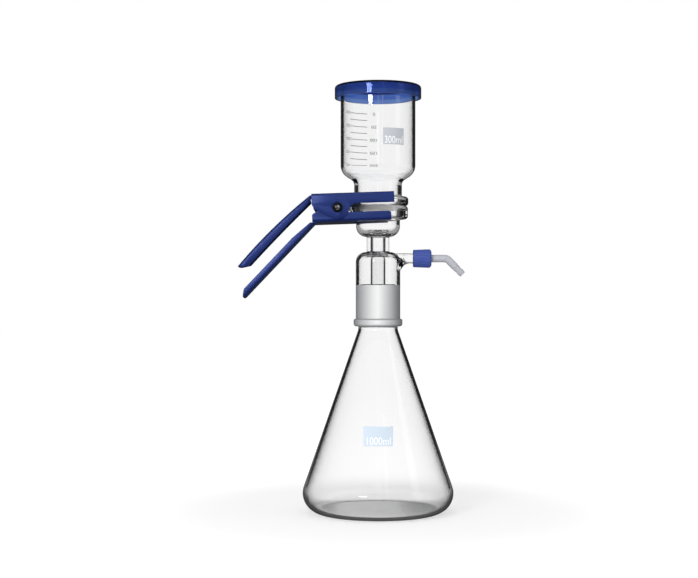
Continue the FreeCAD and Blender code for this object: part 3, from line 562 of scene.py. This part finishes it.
@dataclass(frozen=True)
class MouldedPlastic:
    """Injection-moulded polypropylene: waxy, with light in its skin and a fine spark-eroded texture."""

    name: str
    body: str
    shade: str
    glow: float
    roughness: Span = (0.38, 0.52)
    flow_mm: float = 9.0
    flow_span: Span = (0.3, 0.75)
    flow_share: float = 0.6
    skin_mm: float = 1.2  # how far light gets in
    skin_radius: tuple[float, float, float] = (1.0, 1.0, 1.2)
    ior: float = 1.49
    texture_mm: float = 0.45
    texture_span: Span = (0.25, 0.75)
    texture_depth_mm: float = 0.02

    def material(self) -> Material:
        """Builds the plastic.

        Returns:
            The finished material.
        """
        surface = Surface(self.name)
        tree = surface.tree
        flow = add_node(tree, "TexNoise", {
            "Vector": surface.place, "Scale": per_metre(self.flow_mm), "Detail": 3.0})
        texture = add_node(tree, "TexNoise", {
            "Vector": surface.place, "Scale": per_metre(self.texture_mm), "Detail": 3.0})
        surface.set(
            Base_Color=surface.mottled(flow, self.flow_span, self.flow_share, self.body, self.shade),
            Subsurface_Weight=self.glow, Subsurface_Radius=self.skin_radius,
            Subsurface_Scale=self.skin_mm * MM, IOR=self.ior,
            Roughness=add_node(tree, "MapRange", (texture, *self.texture_span, *self.roughness), **EASED),
        )
        return surface.relief(texture, self.texture_depth_mm, strength=0.35).material


@dataclass(frozen=True)
class FiredEnamel:
    """Ceramic ink, screen printed on the glass and fired: opaque, dull, with tiny pinholes and soft edges."""

    name: str
    ink: str
    thin: str
    speck_mm: float = 0.35
    speck_span: Span = (0.45, 0.8)
    speck_share: float = 0.7
    speck_depth_mm: float = 0.01
    roughness: Span = (0.45, 0.65)

    def material(self) -> Material:
        """Builds the ink.

        Returns:
            The finished material.
        """
        surface = Surface(self.name)
        tree = surface.tree
        specks = add_node(tree, "TexNoise", {
            "Vector": surface.place, "Scale": per_metre(self.speck_mm), "Detail": 4.0, "Roughness": 0.7})
        surface.set(
            Base_Color=surface.mottled(specks, self.speck_span, self.speck_share, self.ink, self.thin),
            Roughness=add_node(tree, "MapRange", (specks, *NOISE_SPAN, *self.roughness), **EASED),
        )
        return surface.relief(specks, self.speck_depth_mm, strength=0.3).material


# ---- Modelling with operators

WELD_MM = 0.002  # corners nearer than this are one
FLAT_DEG = 0.5  # faces that bend less than this are one face


def only(piece: Piece) -> None:
    """Makes one object the only selected one, and the active one.

    Args:
        piece: That object.
    """
    if bpy.context.object and bpy.context.object.mode != "OBJECT":
        bpy.ops.object.mode_set(mode="OBJECT")
    bpy.ops.object.select_all(action="DESELECT")
    piece.select_set(True)
    bpy.context.view_layer.objects.active = piece


def start_piece(name: str, add: Callable[..., object], **size: object) -> Piece:
    """Adds a primitive under a name, alone in the selection.

    Args:
        name: Name of the piece.
        add: Operator that adds the primitive.
        **size: Its arguments.

    Returns:
        The new object.
    """
    bpy.ops.object.select_all(action="DESELECT")
    add(**size)
    piece = bpy.context.object
    piece.name = name
    piece.data.name = name
    return piece


def select_where(piece: Piece, kind: str, test: Callable[[object], bool]) -> None:
    """Selects the vertices or edges that pass a test, and leaves the piece in edit mode.

    Args:
        piece: Piece to work on.
        kind: VERT or EDGE.
        test: Says which elements are wanted.
    """
    only(piece)
    bpy.ops.object.mode_set(mode="EDIT")
    bpy.ops.mesh.select_mode(type=kind)
    bpy.ops.mesh.select_all(action="DESELECT")
    bpy.ops.object.mode_set(mode="OBJECT")
    elements = {"VERT": piece.data.vertices, "EDGE": piece.data.edges}[kind]
    for element in elements:
        element.select = test(element)
    bpy.ops.object.mode_set(mode="EDIT")


def apply_modifier(piece: Piece, kind: str, **settings: object) -> None:
    """Adds a modifier and applies it.

    Args:
        piece: Piece that it changes.
        kind: Blender's name of the modifier type.
        **settings: The modifier's properties.
    """
    only(piece)
    modifier = piece.modifiers.new(kind.title(), kind)
    for name, value in settings.items():
        setattr(modifier, name, value)
    bpy.ops.object.modifier_apply(modifier=modifier.name)


def set_home(piece: Piece) -> None:
    """Puts the object at the origin with its place in its mesh."""
    only(piece)
    bpy.ops.object.transform_apply(location=True, rotation=True, scale=True)


def finish_piece(piece: Piece, finish: Material, body: str | None) -> None:
    """Gives a piece its finish and the body that it rides on.

    Args:
        piece: Piece whose mesh is final.
        finish: Material for all of it.
        body: Body that carries it, or None for a piece that blends between two.
    """
    set_home(piece)
    piece.data.materials.clear()
    piece.data.materials.append(finish)
    if body is not None:
        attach(piece, body)
    log.info("piece %s: %d faces, finish %s", piece.name, len(piece.data.polygons), finish.name)


def dress_node(node: str, finish: Material) -> None:
    """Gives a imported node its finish.

    Args:
        node: Name of the node.
        finish: Material for all of it.
    """
    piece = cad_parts[node]
    if not piece.material_slots:
        piece.data.materials.append(finish)
    for slot in piece.material_slots:
        slot.material = finish
    log.info("node %s: finish %s", node, finish.name)


def refined_copy(node: str, name: str, edge_mm: float, bend_deg: float = 30.0) -> Piece:
    """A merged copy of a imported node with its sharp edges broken, as tumbling leaves them.

    Args:
        node: Node to copy.
        name: Name of the new piece.
        edge_mm: Width of the broken edge.
        bend_deg: Folds sharper than this are edges.

    Returns:
        The new piece, with its own mesh.
    """
    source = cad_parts[node]
    piece = bpy.data.objects.new(name, source.data.copy())
    bpy.context.scene.collection.objects.link(piece)
    only(piece)
    bpy.ops.object.mode_set(mode="EDIT")
    bpy.ops.mesh.select_all(action="SELECT")
    bpy.ops.mesh.remove_doubles(threshold=WELD_MM * MM)
    bpy.ops.mesh.dissolve_limited(angle_limit=math.radians(FLAT_DEG), delimit=set())
    bpy.ops.object.mode_set(mode="OBJECT")
    apply_modifier(piece, "BEVEL", width=edge_mm * MM, segments=2, limit_method="ANGLE",
                   angle_limit=math.radians(bend_deg), use_clamp_overlap=True, miter_outer="MITER_ARC")
    only(piece)
    bpy.ops.object.shade_smooth_by_angle(angle=math.radians(bend_deg))
    return piece


# ---- Printed marks

class Side(enum.Enum):
    """The side of the glass that a mark is printed on, as its direction from the axis."""

    FRONT = -1
    BACK = 1


@dataclass(frozen=True)
class GlassWall:
    """A straight or conical wall: its outer radius at height zero, in mm, and its loss per mm of height."""

    radius: float
    slope: float = 0.0

    def at(self, height: float) -> float:
        """Outer radius at a height."""
        return self.radius - self.slope * height


def lay_on(piece: Piece, wall: GlassWall, side: Side, lift: float) -> None:
    """Moves each corner of a mark straight back on to the wall.

    Args:
        piece: Mark, upright and with its corners at their places from left to right.
        wall: Wall that it lies on.
        side: Side of the glass that it is on.
        lift: How far it stands off the wall, in millimetres.
    """
    for vertex in piece.data.vertices:
        x = vertex.co.x / MM
        radius = wall.at(vertex.co.z / MM) + lift
        vertex.co.y = side.value * math.sqrt(max(radius * radius - x * x, 0.0)) * MM


@dataclass
class PrintedField:
    """A filled rectangle of ink that follows the glass."""

    name: str
    wall: GlassWall
    side: Side
    left: float
    right: float
    low: float
    high: float
    lift: float = 0.05
    film: float = 0.04
    step_deg: float = 2.0
    least_steps: int = 6
    weld: float = 0.001

    def build(self) -> Piece:
        """Spins an upright edge of the wall about its axis, then gives the film its thickness.

        Returns:
            The field.
        """
        middle = (self.low + self.high) / 2
        piece = start_piece(self.name, bpy.ops.mesh.primitive_plane_add, size=1.0)
        select_where(piece, "VERT", lambda v: v.co.x > 0)
        bpy.ops.mesh.delete(type="VERT")
        bpy.ops.object.mode_set(mode="OBJECT")
        start, stop = (math.asin(x / self.wall.at(middle)) for x in (self.left, self.right))
        facing = self.side.value
        for vertex in piece.data.vertices:
            height = self.high if vertex.co.y > 0 else self.low
            radius = self.wall.at(height) + self.lift
            vertex.co = (radius * math.sin(start) * MM, facing * radius * math.cos(start) * MM, height * MM)
        select_where(piece, "EDGE", lambda e: True)
        steps = max(self.least_steps, round(math.degrees(stop - start) / self.step_deg))
        bpy.ops.mesh.spin(steps=steps, angle=facing * (stop - start), center=(0, 0, 0), axis=(0, 0, 1))
        bpy.ops.mesh.select_all(action="SELECT")
        bpy.ops.mesh.remove_doubles(threshold=self.weld * MM)
        bpy.ops.object.mode_set(mode="OBJECT")
        for vertex in piece.data.vertices:
            vertex.co.x *= self.wall.at(middle) / self.wall.at(vertex.co.z / MM)
        lay_on(piece, self.wall, self.side, self.lift)
        self.face_outwards(piece)
        apply_modifier(piece, "SOLIDIFY", thickness=self.film * MM, offset=1.0)
        return piece

    def face_outwards(self, piece: Piece) -> None:
        """Turns the sheet over if its faces look towards the axis.

        Args:
            piece: Sheet without thickness yet.
        """
        face = piece.data.polygons[0]
        if face.normal.dot(Vector((face.center.x, face.center.y, 0))) < 0:
            only(piece)
            bpy.ops.object.mode_set(mode="EDIT")
            bpy.ops.mesh.select_all(action="SELECT")
            bpy.ops.mesh.flip_normals()
            bpy.ops.object.mode_set(mode="OBJECT")


@dataclass
class PrintedText:
    """Figures printed on the glass, read from outside."""

    name: str
    text: str
    wall: GlassWall
    side: Side
    centre: float
    base: float
    height: float
    width_share: float = 0.8
    lift: float = 0.11
    bold: float = 0.0
    capital_share: float = 0.70  # how high capitals stand in the font's size

    def build(self) -> Piece:
        """Sets the text, stands it upright and wraps it on the wall.

        Returns:
            The figures as a mesh.
        """
        bpy.ops.object.select_all(action="DESELECT")
        bpy.ops.object.text_add()
        piece = bpy.context.object
        piece.name = self.name
        piece.data.body = self.text
        piece.data.align_x = "CENTER"
        piece.data.size = self.height * MM / self.capital_share
        piece.data.offset = self.bold * MM
        bpy.ops.object.convert(target="MESH")
        turn = Matrix.Rotation(math.pi / 2, 4, "X")
        if self.side is Side.BACK:
            turn = Matrix.Rotation(math.pi, 4, "Z") @ turn
        stretch = Matrix.Scale(self.width_share, 4, (1, 0, 0))
        piece.data.transform(Matrix.Translation(Vector((self.centre, 0.0, self.base)) * MM) @ turn @ stretch)
        lay_on(piece, self.wall, self.side, self.lift)
        return piece


@dataclass
class PrintedRing:
    """A level line of a scale: a thin arc of ink round part of the wall."""

    name: str
    wall: GlassWall
    side: Side
    left: float
    right: float
    height: float
    stroke: float = 0.55

    def build(self) -> Piece:
        """Prints the line as a very low field.

        Returns:
            The line.
        """
        half = self.stroke / 2
        return PrintedField(self.name, self.wall, self.side, self.left, self.right,
                            self.height - half, self.height + half).build()


@dataclass
class PrintedScale:
    """Level lines, with what has run through on one side of them and what is left on the other."""

    wall: GlassWall
    side: Side = Side.BACK
    top: float = 402.8
    step: float = 13.35
    marks: int = 5
    volume_step: int = 50
    full_volume: int = 300
    long_line: Span = (-29.0, -10.9)
    short_line: Span = (-29.6, -11.2)
    number_drop: float = 1.5
    through_centre: float = -3.6
    through_height: float = 3.1
    through_width: float = 1.35
    left_centre: float = -32.0
    left_height: float = 3.0

    def lines(self) -> list[Piece]:
        """Prints a long line for each volume, and short lines midway between them.

        Returns:
            The lines, each as a piece.
        """
        rings = [PrintedRing(f"scale_long_{i}", self.wall, self.side, *self.long_line,
                             self.top - i * self.step) for i in range(self.marks)]
        rings += [PrintedRing(f"scale_short_{i}", self.wall, self.side, *self.short_line,
                              self.top - (i + 0.5) * self.step) for i in range(self.marks - 1)]
        return [ring.build() for ring in rings]

    def numbers(self) -> list[Piece]:
        """Prints what has run through and what is left, for each long line.

        Returns:
            The numbers, each as a piece.
        """
        texts = []
        for i in range(self.marks):
            volume = i * self.volume_step
            base = self.top - i * self.step - self.number_drop
            texts.append(PrintedText(f"scale_through_{i}", str(volume), self.wall, self.side,
                                     self.through_centre, base, self.through_height, self.through_width))
            texts.append(PrintedText(f"scale_left_{i}", str(self.full_volume - volume), self.wall, self.side,
                                     self.left_centre, base, self.left_height))
        return [text.build() for text in texts]


def joined(name: str, pieces: Iterable[Piece]) -> Piece:
    """One piece from several.

    Args:
        name: Name of the result.
        pieces: Pieces to join.

    Returns:
        The joined piece.
    """
    found = list(pieces)
    only(found[0])
    for piece in found:
        piece.select_set(True)
    bpy.ops.object.join()
    result = bpy.context.object
    result.name = name
    result.data.name = name
    return result


# ---- Sub-assemblies

@dataclass
class Glassware:
    """Flask, filter base, sintered disc and funnel, with the marks on them. Sizes are in millimetres."""

    joint_low: float = 186.2
    joint_high: float = 228.2
    socket_high: float = 222.7
    joint_radius: float = 19.6
    joint_taper: float = 0.05
    ground_below: float = 1.0  # how far the grinding runs past the joint's wide end
    cone_polished: float = 0.8  # what stays clear at the cone's narrow end
    socket_over: float = 0.3
    shoulder_rise: float = 4.5
    cone_reach: Span = (1.2, 1.5)  # each zone's reach inwards and outwards from the joint's radius
    socket_reach: Span = (2.0, 8.0)
    shoulder_reach: Span = (2.0, 3.0)
    flask_wall: GlassWall = GlassWall(83.4, 0.3485)
    funnel_wall: GlassWall = GlassWall(37.35)

    def ground(self, low: float, high: float, reach: Span, taper: float = 0.0) -> GroundBand:
        """A ground zone between two heights, round the joint's radius."""
        return GroundBand(low, high, self.joint_radius - reach[0], self.joint_radius + reach[1], taper)

    def dress(self) -> None:
        """Gives each glass node its finish; the ground zones differ from piece to piece."""
        foot = self.joint_low - self.ground_below
        cone = self.ground(foot, self.joint_high - self.cone_polished, self.cone_reach, self.joint_taper)
        socket = self.ground(foot, self.socket_high + self.socket_over, self.socket_reach)
        shoulder = self.ground(self.socket_high, self.socket_high + self.shoulder_rise, self.shoulder_reach)
        flask = BorosilicateGlass("borosilicate_flask", (cone,), edge_from=0.5)
        dress_node("conical_flask", flask.material())
        dress_node("filter_base", BorosilicateGlass("borosilicate_base", (socket, shoulder)).material())
        dress_node("graduated_funnel", BorosilicateGlass("borosilicate_funnel").material())
        dress_node("drip_tube", BorosilicateGlass("borosilicate_tube").material())
        dress_node("sintered_disc", SinteredGlass().material())

    def build(self) -> None:
        """Prints the volume fields and the funnel's two scales."""
        white = FiredEnamel("fired_white_enamel", "#FFFFFF", "#F0F2F3").material()
        grey = FiredEnamel("fired_grey_enamel", "#C0C4CC", "#CCCFD6").material()
        pale = FiredEnamel("fired_pale_blue_enamel", "#CFDDEB", "#DCE7F1").material()
        line = FiredEnamel("fired_scale_enamel", "#666B73", "#82878F").material()
        funnel_field = PrintedField("funnel_volume_field", self.funnel_wall, Side.FRONT,
                                    left=4.2, right=24.5, low=364.5, high=380.8)
        funnel_text = PrintedText("funnel_volume_text", "300ml", self.funnel_wall, Side.FRONT,
                                  centre=14.6, base=365.9, height=7.0, width_share=0.74, bold=0.05)
        flask_field = PrintedField("flask_volume_field", self.flask_wall, Side.FRONT,
                                   left=-15.4, right=13.4, low=72.3, high=90.6)
        flask_text = PrintedText("flask_volume_text", "1000ml", self.flask_wall, Side.FRONT,
                                 centre=-1.0, base=73.6, height=7.0, width_share=0.84)
        marks = ((funnel_field, grey), (funnel_text, white), (flask_field, pale), (flask_text, white))
        for mark, ink in marks:
            finish_piece(mark.build(), ink, "glassware")
        scale = PrintedScale(self.funnel_wall)
        finish_piece(joined("funnel_scale_lines", scale.lines()), line, "glassware")
        finish_piece(joined("funnel_scale_numbers", scale.numbers()), line, "glassware")


@dataclass
class Lid:
    """The funnel's moulded lid."""

    def dress(self) -> None:
        """Gives the lid its dyed styrene."""
        low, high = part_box("funnel_lid")
        dress_node("funnel_lid", TintedStyrene(top=high[2], radius=(high[0] - low[0]) / 2).material())


@dataclass
class HoseConnection:
    """Screw cap, seal and bent nozzle on the side arm."""

    def dress(self) -> None:
        """Gives each moulding its plastic."""
        cap = MouldedPlastic("blue_polypropylene", "#4358A6", "#394D99", glow=0.1)
        nozzle = MouldedPlastic("natural_polypropylene", "#BDBFC5", "#AFB2B9", glow=0.15)
        seal = MouldedPlastic("silicone_rubber", "#C9C9C5", "#BDBDB8", glow=0.3, roughness=(0.55, 0.7))
        for node, plastic in (("hose_screw_cap", cap), ("hose_nozzle", nozzle), ("nozzle_seal", seal)):
            dress_node(node, plastic.material())


@dataclass
class SpringClamp:
    """Two folded levers on one screw, and a torsion spring between them. Sizes are in mm and degrees."""

    edge: float = 0.25
    tilt: float = 2.0
    # radius of the highlight painted in the screw's recess
    worn_recess: float = 2.3
    wire_radius: float = 0.9
    coil_radius: float = 6.2
    pitch: float = 2.4
    turns: float = 5.4257
    start_angle: float = -77.33
    leg_run: float = 20.87
    wire_sides: int = 14
    steps_per_turn: int = 32
    wire_smooth_deg: float = 40.0

    def build(self) -> None:
        """Makes the levers with broken edges, and the spring."""
        sheet = AnodisedAluminium().material()
        for node, body in (("clamp_upper_lever", "upper_lever"), ("clamp_lower_lever", "glassware")):
            lever = refined_copy(node, node + "_sheet", self.edge)
            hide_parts(node)
            finish_piece(lever, sheet, body)
        self.build_spring()

    def pivot(self) -> Vector:
        """Middle of the pivot, in metres."""
        low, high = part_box("pivot_sleeve")
        return (Vector(low) + Vector(high)) / 2

    def build_spring(self) -> None:
        """Winds the coil from a ring of wire, draws out both legs and closes their ends."""
        spring = start_piece("torsion_spring", bpy.ops.mesh.primitive_circle_add, vertices=self.wire_sides,
                             radius=self.wire_radius * MM, location=(self.coil_radius * MM, 0, 0),
                             rotation=(math.pi / 2, 0, 0))
        set_home(spring)
        turn = 2 * math.pi * self.turns
        steps = round(self.steps_per_turn * self.turns)
        apply_modifier(spring, "SCREW", axis="Z", angle=turn, screw_offset=self.pitch * self.turns * MM,
                       steps=steps, render_steps=steps, use_merge_vertices=True)
        ring = self.wire_sides
        last = len(spring.data.vertices) - ring
        for first, way in ((0, Vector((0, -1, 0))), (last, Vector((-math.sin(turn), math.cos(turn), 0)))):
            chosen = set(range(first, first + ring))
            select_where(spring, "VERT", lambda v: v.index in chosen)
            bpy.ops.mesh.extrude_region_move(TRANSFORM_OT_translate={"value": way * self.leg_run * MM})
            bpy.ops.mesh.edge_face_add()
            bpy.ops.object.mode_set(mode="OBJECT")
        half = self.pitch * self.turns / 2 * MM
        place = (Matrix.Translation(self.pivot()) @ Matrix.Rotation(math.radians(-self.tilt), 4, "Y")
                 @ Matrix.Rotation(math.radians(-self.start_angle), 4, "Y")
                 @ Matrix.Translation((0, half, 0)) @ Matrix.Rotation(math.pi / 2, 4, "X"))
        spring.data.transform(place)
        only(spring)
        bpy.ops.object.mode_set(mode="EDIT")
        bpy.ops.mesh.select_all(action="SELECT")
        bpy.ops.mesh.normals_make_consistent(inside=False)
        # extruding leaves the legs' faces in no fixed order
        bpy.ops.mesh.sort_elements(type="CURSOR_DISTANCE", elements={"FACE"})
        bpy.ops.object.mode_set(mode="OBJECT")
        bpy.ops.object.shade_smooth_by_angle(angle=math.radians(self.wire_smooth_deg))
        finish_piece(spring, SteelWire().material(), None)
        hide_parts("clamp_spring")
        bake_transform(spring)

    def dress(self) -> None:
        """Gives the pivot's parts their finishes."""
        middle = self.pivot()
        black = BlackenedSteel(worn_radius_mm=self.worn_recess, axis=(middle.x, middle.z)).material()
        dress_node("pivot_screw", black)
        dress_node("pivot_nut", black)
        dress_node("pivot_sleeve", SteelWire("turned_steel").material())


# ---- Studio

ONCE = 0.5  # a count above this is one or more


@dataclass(frozen=True)
class SoftBox:
    """A rectangular lamp that faces the glass."""

    name: str
    azimuth_deg: float
    height: float
    distance: float
    size: Span
    power: float
    mirrored: bool = True  # whether it shows as a highlight

    def build(self, target: Vector) -> None:
        """Adds the lamp at its place.

        Args:
            target: Point that it faces.
        """
        turn = math.radians(self.azimuth_deg)
        place = Vector((self.distance * math.sin(turn), -self.distance * math.cos(turn), self.height))
        lamp = bpy.data.lights.new(self.name, "AREA")
        lamp.shape = "RECTANGLE"
        lamp.size, lamp.size_y = self.size
        lamp.energy = self.power
        holder = bpy.data.objects.new(self.name, lamp)
        bpy.context.scene.collection.objects.link(holder)
        holder.location = place
        holder.rotation_euler = (target - place).to_track_quat("-Z", "Y").to_euler()
        holder.visible_camera = False
        holder.visible_transmission = False
        holder.visible_glossy = self.mirrored


@dataclass
class Studio:
    """White sweep, soft lamps and camera. Sizes are in metres, and a span is where a change begins and ends.

    Light that is caught inside a wall sees black flags at both sides, which draws the glass with dark edges,
    and white straight behind, above and below.
    """

    lamps: tuple[SoftBox, ...] = (
        SoftBox("strip_left", azimuth_deg=-24.0, height=0.655, distance=1.5, size=(0.34, 0.11), power=3.7),
        SoftBox("strip_faint", azimuth_deg=13.0, height=0.35, distance=1.6, size=(0.10, 1.5), power=0.6),
        SoftBox("window_right", azimuth_deg=62.0, height=0.45, distance=1.5, size=(0.35, 1.4), power=1.8),
        SoftBox("high_front", azimuth_deg=0.0, height=1.9, distance=1.1, size=(1.2, 0.5), power=4.5),
        SoftBox("fill_front", azimuth_deg=-28.0, height=0.35, distance=1.8, size=(1.0, 1.0), power=17.0,
                mirrored=False),
    )
    lamps_aim: float = 0.24  # height on the glass axis that every lamp faces
    eye: tuple[float, float, float] = (-0.029, -1.440, 0.2155)
    lens_mm: float = 74.27
    sensor_mm: float = 36.0
    nearest: float = 0.05
    rise: float = 0.0114613
    sky_light: float = 0.55
    reflected_front: float = 0.50
    reflected_back: float = 0.04
    reflected_ceiling: float = 0.12
    card_span: Span = (-0.6, 0.3)
    ceiling_span: Span = (-0.3, 0.5)
    overhead_span: Span = (0.2, 0.8)
    caught_dark: float = 0.01
    caught_grey: float = 0.12
    caught_light: float = 0.85
    flag_span: Span = (0.6, 0.95)
    behind_span: Span = (0.02, 0.10)
    steep_span: Span = (0.4, 0.7)
    floor_size: float = 12.0
    floor_colour: str = "#C4C4C4"
    floor_glow_near: float = 0.53
    floor_glow: float = 0.72
    floor_glow_span: Span = (0.15, 0.34)
    # painted shade on the bench as seen through the glass, near to it and far from it
    floor_caught_near: float = 0.10
    floor_caught_far: float = 0.38
    floor_caught_span: Span = (0.04, 0.25)
    floor_mirrored: float = 0.06

    def build(self) -> None:
        """Builds world, floor, lamps and camera."""
        self.world()
        self.floor()
        for lamp in self.lamps:
            lamp.build(Vector((0.0, 0.0, self.lamps_aim)))
        self.camera()

    def world(self) -> None:
        """White to the eye and through the glass; in reflections a pale card in front and black behind."""
        world = bpy.data.worlds.new("white_room")
        bpy.context.scene.world = world
        world.use_nodes = True
        tree = world.node_tree
        path = add_node(tree, "LightPath").node.outputs
        across = add_node(tree, "SeparateXYZ", (add_node(tree, "TexCoord", out="Generated"),)).node.outputs
        sideways = add_node(tree, "Math", (across["X"],), operation="ABSOLUTE")
        upright = add_node(tree, "Math", (across["Z"],), operation="ABSOLUTE")
        caught = add_node(tree, "Math", (path["Glossy Depth"], ONCE), operation="GREATER_THAN")
        flag = add_node(tree, "MapRange", (
            sideways, *self.flag_span, self.caught_dark, self.caught_grey), **EASED)
        behind = add_node(tree, "MapRange", (sideways, *self.behind_span, 1, 0), **EASED)
        steep = add_node(tree, "MapRange", (upright, *self.steep_span, 0, 1), **EASED)
        gap = add_node(tree, "Math", (behind, steep), operation="MAXIMUM")
        inner = add_node(tree, "Mix", {0: gap, 2: flag, 3: self.caught_light})
        through = add_node(tree, "Mix", {0: caught, 2: 1.0, 3: inner})
        card = add_node(tree, "MapRange", (
            across["Y"], *self.card_span, self.reflected_front, self.reflected_back), **EASED)
        ceiling = add_node(tree, "MapRange", (
            across["Y"], *self.ceiling_span, self.reflected_ceiling, self.reflected_back), **EASED)
        overhead = add_node(tree, "MapRange", (upright, *self.overhead_span, 0, 1), **EASED)
        room = add_node(tree, "Mix", {0: overhead, 2: card, 3: ceiling})
        mirrored = add_node(tree, "Mix", {0: path["Is Glossy Ray"], 2: self.sky_light, 3: room})
        seen = add_node(tree, "Mix", {0: path["Is Transmission Ray"], 2: mirrored, 3: through})
        level = add_node(tree, "Mix", {0: path["Is Camera Ray"], 2: seen, 3: 1.0})
        tree.links.new(level, tree.nodes["Background"].inputs["Strength"])
        tree.nodes["Background"].inputs["Color"].default_value = (1, 1, 1, 1)

    def floor(self) -> None:
        """White bench that takes the shadow and reads as white where it is open; seen through the glass, it has
        painted shade that is darker where it is close to the glass.
        """
        floor = start_piece("bench", bpy.ops.mesh.primitive_plane_add, size=self.floor_size)
        material = bpy.data.materials.new("white_bench")
        material.use_nodes = True
        tree = material.node_tree
        tree.nodes.remove(tree.nodes["Principled BSDF"])
        path = add_node(tree, "LightPath").node.outputs
        glossy, passed = path["Is Glossy Ray"], path["Is Transmission Ray"]
        indirect = add_node(tree, "Math", (glossy, passed), operation="MAXIMUM")
        seen = add_node(tree, "Math", (path["Is Camera Ray"], indirect), operation="MAXIMUM")
        diffuse = add_node(tree, "BsdfDiffuse", {"Color": linear(self.floor_colour)})
        place = add_node(tree, "TexCoord", out="Object")
        away = add_node(tree, "VectorMath", (place,), out="Value", operation="LENGTH")
        evened = add_node(tree, "MapRange", (
            away, *self.floor_glow_span, self.floor_glow_near, self.floor_glow), **EASED)
        glow = add_node(tree, "Emission", {
            "Strength": add_node(tree, "Math", (seen, evened), operation="MULTIPLY")})
        total = add_node(tree, "AddShader", (diffuse, glow))
        inside = add_node(tree, "Math", (path["Glossy Depth"], ONCE), operation="GREATER_THAN")
        caught = add_node(tree, "Math", (passed, inside), operation="MULTIPLY")
        outside = add_node(tree, "Math", (1.0, passed), operation="SUBTRACT")
        mirrored = add_node(tree, "Math", (glossy, outside), operation="MULTIPLY")
        near, far = self.floor_caught_near, self.floor_caught_far
        # painted shade: for light caught inside the glass, the bench is darker the nearer it is to the glass
        shaded = add_node(tree, "MapRange", (path["Ray Length"], *self.floor_caught_span, near, far), **EASED)
        level = add_node(tree, "Mix", {0: mirrored, 2: shaded, 3: self.floor_mirrored})
        dim = add_node(tree, "Emission", {"Strength": level})
        dimmed = add_node(tree, "Math", (caught, mirrored), operation="MAXIMUM")
        bench = add_node(tree, "MixShader", (dimmed, total, dim))
        tree.links.new(bench, tree.nodes["Material Output"].inputs["Surface"])
        floor.data.materials.append(material)

    def camera(self) -> None:
        """Level camera at the unit's mid height."""
        lens = bpy.data.cameras.new("view")
        lens.sensor_width = self.sensor_mm
        lens.lens = self.lens_mm
        lens.shift_y = self.rise
        lens.clip_start = self.nearest
        camera = bpy.data.objects.new("view", lens)
        bpy.context.scene.collection.objects.link(camera)
        camera.location = self.eye
        camera.rotation_euler = (math.pi / 2, 0, 0)
        bpy.context.scene.camera = camera


def main() -> None:
    """Builds every sub-assembly in order, then the studio."""
    logging.basicConfig(level=logging.INFO, format="%(name)s: %(message)s")
    bpy.context.scene.view_settings.view_transform = "Standard"
    glassware = Glassware()
    glassware.dress()
    glassware.build()
    Lid().dress()
    HoseConnection().dress()
    clamp = SpringClamp()
    clamp.build()
    clamp.dress()
    Studio().build()


if __name__ == "__main__":
    main()
